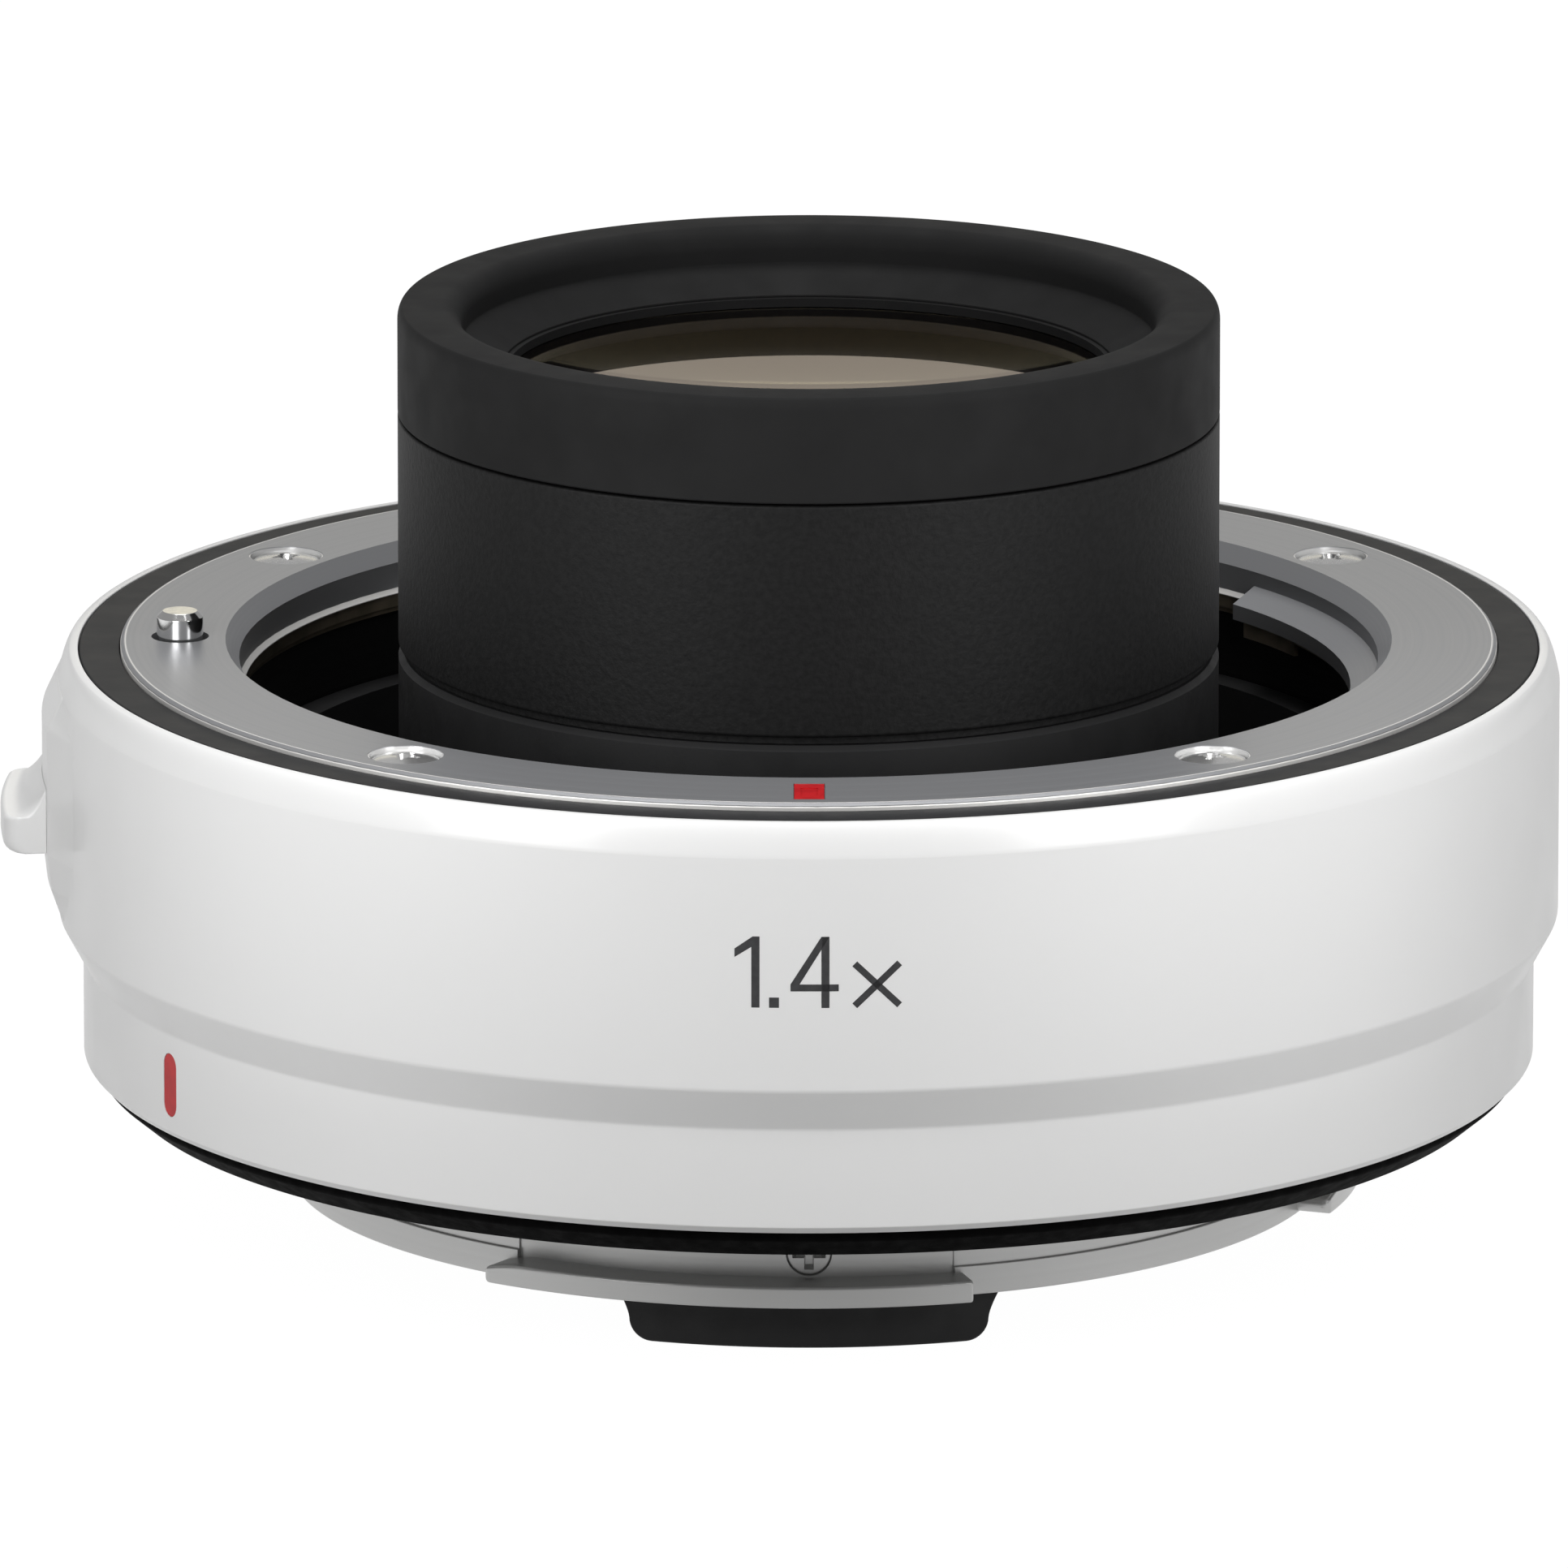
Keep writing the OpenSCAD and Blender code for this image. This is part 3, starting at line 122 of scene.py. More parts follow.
def soft_outline(corners, steps=5):
    """Takes (radius, height, rounding) corners of a closed outline and returns its points."""
    points = []
    for i, (r, z, rounding) in enumerate(corners):
        here = Vector((r, z))
        back = Vector(corners[i - 1][:2]) - here
        ahead = Vector(corners[(i + 1) % len(corners)][:2]) - here
        if rounding <= 0:
            points.append(here)
            continue
        half = back.angle(ahead) / 2
        reach = min(rounding / math.tan(half), SIDE_SHARE * back.length, SIDE_SHARE * ahead.length)
        radius = reach * math.tan(half)
        back.normalize()
        ahead.normalize()
        centre = here + (back + ahead).normalized() * (radius / math.sin(half))
        spoke = here + back * reach - centre
        other = here + ahead * reach - centre
        turn = math.atan2(spoke.x * other.y - spoke.y * other.x, spoke.dot(other))
        points.append(here + back * (reach + HOLD))
        for k in range(steps + 1):
            a = turn * k / steps
            c, s = math.cos(a), math.sin(a)
            points.append(centre + Vector((c * spoke.x - s * spoke.y, s * spoke.x + c * spoke.y)))
        points.append(here + ahead * (reach + HOLD))
    return points


def arc_corners(centre, radii, start, end, steps):
    """Plain corners along an elliptic arc, for a curve that an outline runs through."""
    turns = [math.radians(start + (end - start) * k / steps) for k in range(steps + 1)]
    return [(centre[0] + radii[0] * math.cos(a), centre[1] + radii[1] * math.sin(a), 0) for a in turns]


square = [(0, 0, SOFT_EDGE), (1, 0, SOFT_EDGE), (1, 1, SOFT_EDGE), (0, 1, SOFT_EDGE)]
print("points in a square with soft corners:", len(soft_outline(square)))

# %% Spin an outline into a mesh
SHARP = math.radians(32)
WELD, ON_AXIS = 1e-7, 1e-6
RING_STEPS, LARGE_STEPS, SMALL_STEPS = 288, 360, 64


def mesh_from(bm, name):
    """Closes, orients and shades a bmesh, and hands it over as a mesh."""
    bmesh.ops.remove_doubles(bm, verts=bm.verts, dist=WELD)
    bmesh.ops.recalc_face_normals(bm, faces=bm.faces)
    mesh = bpy.data.meshes.new(name)
    bm.to_mesh(mesh)
    bm.free()
    mesh.shade_smooth()
    mesh.set_sharp_from_angle(angle=SHARP)
    return mesh


def lathe(name, corners, steps=RING_STEPS, at=(0.0, 0.0)):
    """A closed outline in millimetres, spun round an upright axis that stands at a point."""
    outline = soft_outline(corners)
    bm = bmesh.new()
    rows = []
    for i in range(steps):
        a = 2 * math.pi * i / steps
        c, s = math.cos(a), math.sin(a)
        spots = [Vector((at[0] + p.x * s, at[1] - p.x * c, p.y)) * MM for p in outline]
        rows.append([bm.verts.new(spot) for spot in spots])
    for i in range(steps):
        for j in range(len(outline)):
            k = (j + 1) % len(outline)
            if outline[j].x < ON_AXIS and outline[k].x < ON_AXIS:
                continue
            bm.faces.new((rows[i - 1][j], rows[i - 1][k], rows[i][k], rows[i][j]))
    return mesh_from(bm, name)


print("edges sharper than", round(math.degrees(SHARP)), "degrees stay crisp")

# %% [markdown]
# ## Pieces
# A finished mesh becomes a piece: an object at the origin that rides on one body of the frame, and may
# stand for a solid, which is then hidden. Holes and added lumps are Booleans. Their result is taken off
# the evaluated object as a plain mesh, so that no modifier is left on a piece.

# %% Put a mesh into the scene as a piece
def linked(name, data):
    """A new object with this data, put into the scene."""
    obj = bpy.data.objects.new(name, data)
    bpy.context.scene.collection.objects.link(obj)
    return obj


def piece(name, mesh, finish, body="body", stands_for=()):
    """One finished piece: it rides on a body, and may stand for solids."""
    obj = linked(name, mesh)
    mesh.materials.clear()
    mesh.materials.append(finish)
    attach(obj, body)
    if stands_for:
        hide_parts(*stands_for)
    print(name, "faces:", len(mesh.polygons))
    return obj


# %% Join and cut meshes
def evaluated(obj):
    """A plain mesh of an object with its modifiers, after which the object is removed."""
    depsgraph = bpy.context.evaluated_depsgraph_get()
    mesh = bpy.data.meshes.new_from_object(obj.evaluated_get(depsgraph))
    bpy.data.objects.remove(obj)
    return mesh


def joined(mesh, tool_mesh, operation, tool_overlaps=False):
    """A mesh with another one added to it or cut from it. The tool's own parts may overlap."""
    work, tool = linked("work", mesh), linked("tool", tool_mesh)
    cut = work.modifiers.new("cut", "BOOLEAN")
    cut.object, cut.operation, cut.solver, cut.use_self = tool, operation, "EXACT", tool_overlaps
    result = evaluated(work)
    bpy.data.objects.remove(tool)
    result.shade_smooth()
    result.set_sharp_from_angle(angle=SHARP)
    return result


# %% [markdown]
# ## Finishes
# Each finish is one Principled shader with a little life in it: paint has orange peel, moulded
# black has grain, turned steel has fine rings from the tool. The patterns read Object coordinates,
# so they keep their scale on every piece. A colour that varies, a roughness that varies and a bump
# are three small helpers that any finish can call.

# %% The helpers that build a finish
def new_finish(name, colour, roughness, metallic=0.0, **sockets):
    """A material with constant values set on the shader itself."""
    mat = bpy.data.materials.new(name)
    mat.use_nodes = True
    shader = mat.node_tree.nodes["Principled BSDF"]
    shader.inputs["Base Color"].default_value = (*colour, 1.0)
    shader.inputs["Roughness"].default_value = roughness
    shader.inputs["Metallic"].default_value = metallic
    for socket, value in sockets.items():
        shader.inputs[socket.replace("_", " ")].default_value = value
    return mat


def feed(mat, socket, value):
    """Gives an input a link or a plain value."""
    if isinstance(value, bpy.types.NodeSocket):
        mat.node_tree.links.new(value, socket)
    else:
        socket.default_value = value


def add_node(mat, kind, settings=None, **inputs):
    """One node, with its settings and the values or links of its inputs."""
    node = mat.node_tree.nodes.new(kind)
    for key, value in (settings or {}).items():
        setattr(node, key, value)
    for key, value in inputs.items():
        feed(mat, node.inputs[key.replace("_", " ")], value)
    return node


def compute(mat, operation, *values, clamp=False):
    """A sum, product or the like of links and plain numbers."""
    node = add_node(mat, "ShaderNodeMath", {"operation": operation, "use_clamp": clamp})
    for socket, value in zip(node.inputs, values):
        feed(mat, socket, value)
    return node.outputs["Value"]


def shader_input(mat, name, source):
    """Links a field to an input of the finish's shader."""
    mat.node_tree.links.new(source, mat.node_tree.nodes["Principled BSDF"].inputs[name])


# %% The fields that bring it to life
def place(mat):
    """Where on the piece a point lies."""
    return add_node(mat, "ShaderNodeTexCoord").outputs["Object"]


def cloud(mat, scale, detail=2.0, rough=0.5):
    """A soft random field over the piece. The scale counts features per metre."""
    noise = add_node(
        mat, "ShaderNodeTexNoise", Vector=place(mat), Scale=scale, Detail=detail, Roughness=rough)
    return noise.outputs["Fac"]


def tool_rings(mat, pitch):
    """Fine rings as a turning tool leaves them: a random field of radius plus height."""
    spread = add_node(mat, "ShaderNodeSeparateXYZ", Vector=place(mat))
    flat = add_node(mat, "ShaderNodeCombineXYZ", X=spread.outputs["X"], Y=spread.outputs["Y"])
    radius = add_node(mat, "ShaderNodeVectorMath", {"operation": "LENGTH"}, Vector=flat.outputs[0])
    total = compute(mat, "ADD", radius.outputs["Value"], spread.outputs["Z"])
    noise = add_node(
        mat, "ShaderNodeTexNoise", {"noise_dimensions": "1D"}, W=total, Scale=1 / pitch, Detail=3.0)
    return noise.outputs["Fac"]


FIELD_LOW, FIELD_HIGH = 0.3, 0.7


def vary_roughness(mat, field, low, high):
    """Roughness between two values. Most of a random field lies between its low and its high."""
    ranged = add_node(mat, "ShaderNodeMapRange", Value=field, From_Min=FIELD_LOW, From_Max=FIELD_HIGH,
                      To_Min=low, To_Max=high)
    shader_input(mat, "Roughness", ranged.outputs["Result"])


def vary_colour(mat, field, dark, light, low=0.35, high=0.65):
    """A base colour between two close shades."""
    ramp = add_node(mat, "ShaderNodeValToRGB", Fac=field)
    ramp.color_ramp.elements[0].position = low
    ramp.color_ramp.elements[1].position = high
    ramp.color_ramp.elements[0].color = (*dark, 1.0)
    ramp.color_ramp.elements[1].color = (*light, 1.0)
    shader_input(mat, "Base Color", ramp.outputs["Color"])


def raise_bump(mat, field, height, strength=1.0):
    """A bump whose height is given in metres."""
    bump = add_node(mat, "ShaderNodeBump", Height=field, Distance=height, Strength=strength)
    shader_input(mat, "Normal", bump.outputs["Normal"])


# %% [markdown]
# ### Paints and plastics
# The casing carries a white semi-gloss enamel. Under a strong lamp such paint shows a faint orange
# peel about half a millimetre across. The barrel is black twice over: a smooth satin hood above a
# seam and a finely crinkled coat below it. Peel and crinkle are far too small to model, so a bump
# with its height in metres gives them.

# %% White enamel, red paint, dark trim and the printed figure
white_enamel = new_finish("white_enamel", (0.80, 0.80, 0.795), 0.3, Coat_Weight=0.25, Coat_Roughness=0.12)
vary_colour(white_enamel, cloud(white_enamel, 60.0), (0.79, 0.79, 0.787), (0.80, 0.80, 0.797))
vary_roughness(white_enamel, cloud(white_enamel, 350.0), 0.33, 0.41)
raise_bump(white_enamel, cloud(white_enamel, 1800.0, 1.0), 5e-7)

red_paint = new_finish("red_paint", (0.50, 0.012, 0.016), 0.4, Specular_IOR_Level=0.25)
vary_colour(red_paint, cloud(red_paint, 900.0), (0.42, 0.009, 0.013), (0.56, 0.015, 0.019))
raise_bump(red_paint, cloud(red_paint, 5000.0), 4e-6)

dark_trim = new_finish("dark_trim_anodised", (0.018, 0.018, 0.019), 0.45, Specular_IOR_Level=0.15)
vary_roughness(dark_trim, cloud(dark_trim, 500.0), 0.44, 0.5)
raise_bump(dark_trim, cloud(dark_trim, 9000.0), 3e-6)

figure_ink = new_finish("figure_ink", (0.04, 0.04, 0.042), 0.5, Specular_IOR_Level=0.3)
vary_colour(figure_ink, cloud(figure_ink, 2500.0), (0.035, 0.035, 0.037), (0.046, 0.046, 0.048))
print("finishes so far:", len(bpy.data.materials))

# %% The blacks
hood_black = new_finish("hood_satin_black", (0.010, 0.010, 0.0102), 0.7, Specular_IOR_Level=0.18)
vary_roughness(hood_black, cloud(hood_black, 400.0), 0.66, 0.76)
raise_bump(hood_black, cloud(hood_black, 9000.0), 2e-6)

crinkle_black = new_finish("barrel_crinkle_black", (0.006, 0.006, 0.0061), 0.6, Specular_IOR_Level=0.2)
vary_colour(
    crinkle_black, cloud(crinkle_black, 3400.0, 3.0), (0.004, 0.004, 0.0041), (0.008, 0.008, 0.0081))
raise_bump(crinkle_black, cloud(crinkle_black, 3400.0, 3.0, 0.6), 3.5e-5)

moulded_black = new_finish("moulded_black", (0.012, 0.012, 0.0125), 0.55, Specular_IOR_Level=0.3)
vary_roughness(moulded_black, cloud(moulded_black, 700.0), 0.5, 0.62)
raise_bump(moulded_black, cloud(moulded_black, 6000.0, 3.0), 5e-6)

inner_black = new_finish("inner_black", (0.006, 0.006, 0.006), 0.6, Specular_IOR_Level=0.2)
vary_roughness(inner_black, tool_rings(inner_black, 0.0004), 0.52, 0.68)
raise_bump(inner_black, tool_rings(inner_black, 0.0004), 2e-5)

seal_rubber = new_finish("seal_rubber", (0.0015, 0.0015, 0.0015), 0.8, Specular_IOR_Level=0.04)
vary_roughness(seal_rubber, cloud(seal_rubber, 1500.0, 3.0), 0.7, 0.9)
raise_bump(seal_rubber, cloud(seal_rubber, 4500.0, 3.0), 8e-6)
print("finishes so far:", len(bpy.data.materials))

# %% [markdown]
# ### Metals
# The two mounts are stainless steel with the rings of the turning tool still on it. Its face is grey,
# while its satin bevels and the bright seats of the screws are brighter copies of the same steel, a
# painted highlight, so each has a finish of its own. The lock pin is polished. Round the throat lies
# bronze, darkened by age, and a band of it laid on the steel throat wall is painted shade. A metal in
# Blender is a high Metallic value; a little less of it stands for the dull film that handling leaves.

# %% The steels
turned_steel = new_finish("turned_steel", (0.374, 0.378, 0.392), 0.36, 0.65, Specular_IOR_Level=0.1)
vary_roughness(turned_steel, tool_rings(turned_steel, 0.00025), 0.34, 0.4)
raise_bump(turned_steel, tool_rings(turned_steel, 0.00012), 2e-7)

neck_steel = new_finish("neck_steel", (0.50, 0.50, 0.495), 0.32, 0.7)
vary_roughness(neck_steel, tool_rings(neck_steel, 0.0002), 0.29, 0.36)
raise_bump(neck_steel, tool_rings(neck_steel, 0.0001), 1e-6)

# Painted highlight: a bright copy of the steel, for the shining wall of each screw's counterbore.
seat_highlight_steel = new_finish("seat_painted_highlight", (0.86, 0.86, 0.855), 0.22, 0.32)
vary_roughness(seat_highlight_steel, tool_rings(seat_highlight_steel, 0.0002), 0.19, 0.25)

# Painted highlight: a brighter copy of the mount's steel, for its outer bevel and the throat ledge.
bevel_highlight_steel = new_finish("satin_bevel_painted_highlight", (0.80, 0.79, 0.77), 0.58, 0.92)
vary_roughness(bevel_highlight_steel, tool_rings(bevel_highlight_steel, 0.0002), 0.55, 0.62)

satin_steel = new_finish("satin_screw_steel", (0.74, 0.74, 0.735), 0.24, 0.85)
vary_roughness(satin_steel, cloud(satin_steel, 2500.0), 0.2, 0.26)

polished_steel = new_finish("polished_steel", (0.70, 0.70, 0.695), 0.12, 1.0)
vary_roughness(polished_steel, cloud(polished_steel, 2500.0), 0.08, 0.18)
raise_bump(polished_steel, tool_rings(polished_steel, 0.0001), 4e-7)
print("finishes so far:", len(bpy.data.materials))

# %% Bronze, brass, gold, alloy and wire
aged_bronze = new_finish("aged_bronze", (0.20, 0.17, 0.12), 0.35, 0.4)
vary_colour(aged_bronze, cloud(aged_bronze, 700.0, 3.0), (0.16, 0.135, 0.095), (0.24, 0.20, 0.145))
vary_roughness(aged_bronze, cloud(aged_bronze, 1800.0), 0.3, 0.45)

shim_brass = new_finish("shim_brass", (0.70, 0.55, 0.28), 0.3, 1.0)
vary_roughness(shim_brass, tool_rings(shim_brass, 0.0003), 0.25, 0.4)

contact_gold = new_finish("contact_gold", (0.86, 0.62, 0.25), 0.16, 1.0)
vary_roughness(contact_gold, cloud(contact_gold, 6000.0), 0.12, 0.24)

frame_alloy = new_finish("frame_alloy", (0.42, 0.42, 0.43), 0.42, 1.0)
vary_roughness(frame_alloy, cloud(frame_alloy, 1600.0, 3.0), 0.36, 0.5)
raise_bump(frame_alloy, cloud(frame_alloy, 5000.0), 4e-6)

spring_wire = new_finish("spring_wire", (0.55, 0.55, 0.55), 0.2, 1.0)
vary_roughness(spring_wire, cloud(spring_wire, 5000.0), 0.15, 0.3)
print("finishes so far:", len(bpy.data.materials))

# %% [markdown]
# ### Board, cables and glass
# The board inside has a green mask over copper traces, drawn by a brick pattern. The lenses are
# coated: their glass is clear, the coating takes most of the glare away, and what is left of it is
# khaki. Behind the first pair the stack is made dark, not clear: painted shade for the dark depth of
# the barrel, so that the front glass shows depth without the renderer having to follow light through
# seven lenses.

# %% Board, chips, cables and glass
board_green = new_finish("board_green", (0.02, 0.13, 0.06), 0.35)
bricks = add_node(
    board_green, "ShaderNodeTexBrick", Vector=place(board_green), Scale=900.0,
    Color1=(0.016, 0.11, 0.05, 1.0), Color2=(0.022, 0.14, 0.065, 1.0), Mortar=(0.07, 0.22, 0.09, 1.0))
shader_input(board_green, "Base Color", bricks.outputs["Color"])

chip_black = new_finish("chip_black", (0.018, 0.018, 0.02), 0.5)
raise_bump(chip_black, cloud(chip_black, 9000.0), 5e-6)

flex_amber = new_finish("flex_amber", (0.42, 0.20, 0.04), 0.3)
vary_colour(flex_amber, cloud(flex_amber, 500.0), (0.36, 0.16, 0.03), (0.46, 0.23, 0.05))

front_glass = new_finish("front_glass", (0.62, 0.58, 0.46), 0.0, IOR=1.7, Transmission_Weight=1.0,
                         Thin_Film_Thickness=125.0, Thin_Film_IOR=1.38)
vary_roughness(front_glass, cloud(front_glass, 120.0), 0.0, 0.015)

# Painted shade: the lenses behind the front pair are dark and opaque, standing for the shade deep in the
# barrel.
deep_shade_glass = new_finish("deep_shade_glass", (0.010, 0.009, 0.008), 0.06, Specular_IOR_Level=0.35)
vary_colour(deep_shade_glass, cloud(deep_shade_glass, 90.0), (0.009, 0.008, 0.007), (0.014, 0.013, 0.011))
print("finishes:", len(bpy.data.materials))

# %% [markdown]
# ## Solids that keep their shape
# Most of the inside is good as it comes: lenses, board, cables, frame. Such a solid only needs a
# finish. The record says which slot each one belongs to, so one table from slot to finish dresses
# them all, and a short second table holds the few that differ from the rest of their slot.

# %% Dress the solids
BY_SLOT = {
    "white_paint": white_enamel, "red_paint": red_paint, "dark_trim": dark_trim,
    "mount_steel": turned_steel, "screw_steel": polished_steel, "shim_brass": shim_brass,
    "spring_bronze": aged_bronze, "spring_steel": spring_wire, "frame_alloy": frame_alloy,
    "black_plastic": moulded_black, "black_metal": inner_black, "lens_glass": deep_shade_glass,
    "contact_gold": contact_gold, "seal_rubber": seal_rubber, "board_green": board_green,
    "chip_black": chip_black, "flex_amber": flex_amber,
}
# main_frame is alloy by its slot but is dressed inner black here: painted shade for the dark throat.
BY_NODE = {"lens_7": front_glass, "main_frame": inner_black, "front_retaining_ring": hood_black}
slot_of = {row["node"]: row["material_slot"] for row in frame["record"]["subparts"]}
for name, solid in nodes.items():
    solid.data.materials.clear()
    solid.data.materials.append(BY_NODE.get(name, BY_SLOT[slot_of[name]]))
print("dressed:", len(nodes))

# %% [markdown]
# ## Casing
# The white casing is a turned shell: a rounded shoulder under the rim, a straight wall, a band that
# tapers in, and a lower wall with a small chamfer at its foot. A stack of cylinders could give that,
# but one spun outline keeps it closed and lets every corner be soft. The shoulder is part of an
# ellipse and meets the wall in a faint crease, where the bright band on the real one ends.

# %% Turn the casing
RIM_Z, RIM_IN_R, CASING_BASE, TAPER_TOP, TAPER_BASE = 20.0, 34.64, 0.15, 7.3, 5.2
SHOULDER_W, SHOULDER_LOW, SHOULDER_CENTRE, SHOULDER_START = 0.68, 18.4, 10.0, 86
RIM_ROUND, TAPER_ROUND_TOP, TAPER_ROUND_BASE, FOOT_CHAMFER = 0.06, 0.5, 0.4, 0.34
WALL_IN_R, LOW_IN_R, FOOT_IN_R = 34.02, 32.87, 32.34
TRIM_SEAT, STEP_TOP, STEP_BASE, FOOT_TOP = 18.74, 8.05, 5.95, 1.77
shoulder_h = RIM_Z - SHOULDER_CENTRE
crease = math.degrees(math.asin((SHOULDER_LOW - SHOULDER_CENTRE) / shoulder_h))
shoulder_a = SHOULDER_W / math.cos(math.radians(crease))
rim = [(WALL_IN_R, TRIM_SEAT, 0), (RIM_IN_R, TRIM_SEAT, 0), (RIM_IN_R, RIM_Z, RIM_ROUND)]
shoulder = arc_corners(
    (CASING_R - SHOULDER_W, SHOULDER_CENTRE), (shoulder_a, shoulder_h), SHOULDER_START, crease, steps=14)
outside = [
    (CASING_R, SHOULDER_LOW - HOLD, 0), (CASING_R, TAPER_TOP, TAPER_ROUND_TOP),
    (CASING_LOW_R, TAPER_BASE, TAPER_ROUND_BASE),
    (CASING_LOW_R, CASING_BASE + FOOT_CHAMFER, SOFT_EDGE),
    (CASING_LOW_R - FOOT_CHAMFER, CASING_BASE, SOFT_EDGE),
]
inside = [
    (FOOT_IN_R, CASING_BASE, 0), (FOOT_IN_R, FOOT_TOP, 0), (LOW_IN_R, FOOT_TOP, 0),
    (LOW_IN_R, STEP_BASE, 0), (WALL_IN_R, STEP_TOP, 0),
]
casing_mesh = lathe("casing", rim + shoulder + outside + inside, LARGE_STEPS)
print("crease of the shoulder in degrees:", round(crease, 1))

# %% [markdown]
# ### Pad, slot and line
# A raised pad sits behind the lever. It could be drawn on the wall by hand, but an outline that is
# swept through a small sector keeps its section true. Towards both ends the outline sinks into the
# wall, fast at first and then running out, so that no end shows. The pad is joined on with a Boolean,
# and the lever's slot and the recess of the red line are cut out with two more.

# %% Sweep the pad
def swept(name, rows):
    """A closed skin through rows of points, with a face at each end."""
    bm = bmesh.new()
    rows = [[bm.verts.new(p) for p in row] for row in rows]
    for a, b in zip(rows, rows[1:]):
        for j in range(len(a)):
            bm.faces.new((a[j - 1], a[j], b[j], b[j - 1]))
    bm.faces.new(rows[0])
    bm.faces.new(rows[-1])
    return mesh_from(bm, name)


PAD_HALF, PAD_RAMP, PAD_STEPS = 7.9, 6.0, 70
PAD_R, PAD_ROOT, PAD_SINK, PAD_LEAN = 36.37, 33.6, 0.02, 0.2
PAD_BASE, LEAN_BASE, LEAN_TOP, PAD_FLAT_TOP, PAD_TOP = 7.5, 9.1, 10.85, 17.0, 18.6
PAD_FOOT_ROUND, PAD_ROUND, LEAN_ROUND = 0.3, 0.7, 0.6
pad_outline = soft_outline([
    (PAD_ROOT, PAD_BASE, 0), (CASING_R, PAD_BASE, PAD_FOOT_ROUND), (PAD_R - PAD_LEAN, LEAN_BASE, PAD_ROUND),
    (PAD_R, LEAN_TOP, LEAN_ROUND), (PAD_R, PAD_FLAT_TOP, PAD_ROUND), (CASING_R, PAD_TOP, PAD_FOOT_ROUND),
    (PAD_ROOT, PAD_TOP, 0),
])
pad_rows = []
for i in range(-PAD_STEPS, PAD_STEPS + 1):
    turn = (PAD_HALF + PAD_RAMP) * i / PAD_STEPS
    down = max(abs(turn) - PAD_HALF, 0) / PAD_RAMP
    sink = (1 - (1 - down) ** 2) * (PAD_R - CASING_R + PAD_SINK)
    pad_rows.append([around(LOCK_ANGLE + turn, max(p.x - sink, PAD_ROOT), p.y) for p in pad_outline])
casing_mesh = joined(casing_mesh, swept("pad", pad_rows), "UNION")
print("casing with its pad, faces:", len(casing_mesh.polygons))

# %% Cut the slot and the recess
SLOT_W, SLOT_IN_R, SLOT_OUT_R, SLOT_BASE, SLOT_TOP = 3.4, 33.0, 37.4, 9.2, 13.4
LINE_ANGLE, LINE_Z, LINE_W, LINE_H, LINE_STEPS = -60.5, 2.745, 1.25, 3.08, 12
LINE_DEPTH, LINE_CLEAR = 0.15, 0.4


def block_at(name, angle, width, inner, outer, base, top):
    """A plain block across a radius."""
    bm = bmesh.new()
    bmesh.ops.create_cube(bm, size=1.0)
    a = math.radians(angle)
    for v in bm.verts:
        across, out = v.co.x * width, (inner + outer) / 2 + v.co.y * (outer - inner)
        up = (base + top) / 2 + v.co.z * (top - base)
        x, y = across * math.cos(a) + out * math.sin(a), across * math.sin(a) - out * math.cos(a)
        v.co = Vector((x, y, up)) * MM
    return mesh_from(bm, name)


def line_row(radius):
    """The outline of the red line on the lower wall: two half circles and the straights between."""
    half_w, straight = LINE_W / 2, (LINE_H - LINE_W) / 2
    return [around(LINE_ANGLE + math.degrees(half_w * math.cos(a) / CASING_LOW_R), radius,
                   LINE_Z + side * straight + half_w * math.sin(a))
            for side, first in ((1, 0.0), (-1, math.pi))
            for a in (first + math.pi * k / LINE_STEPS for k in range(LINE_STEPS + 1))]


slot_mesh = block_at("slot", LOCK_ANGLE, SLOT_W, SLOT_IN_R, SLOT_OUT_R, SLOT_BASE, SLOT_TOP)
recess = swept("line_recess", [line_row(CASING_LOW_R - LINE_DEPTH), line_row(CASING_LOW_R + LINE_CLEAR)])
casing_mesh = joined(casing_mesh, slot_mesh, "DIFFERENCE")
casing_mesh = joined(casing_mesh, recess, "DIFFERENCE")
piece("casing_shell", casing_mesh, white_enamel, stands_for=("outer_casing",))

# %% [markdown]
# ## Printed figure
# The magnification stands on the front of the casing as a plain figure. A text object would bring a
# typeface with it, so the figure is drawn from straight strokes, each a flat shape in width and
# height. The shapes are cut into narrow strips so that they can bend round the wall, and they get a
# hair of thickness, as a layer of ink has.

# %% Draw the strokes
def stroke(x0, z0, x1, z1, width):
    """The four corners of a straight stroke between two points."""
    along = Vector((x1 - x0, z1 - z0)).normalized()
    side = Vector((-along.y, along.x)) * width / 2
    a, b = Vector((x0, z0)), Vector((x1, z1))
    return [a + side, a - side, b - side, b + side]


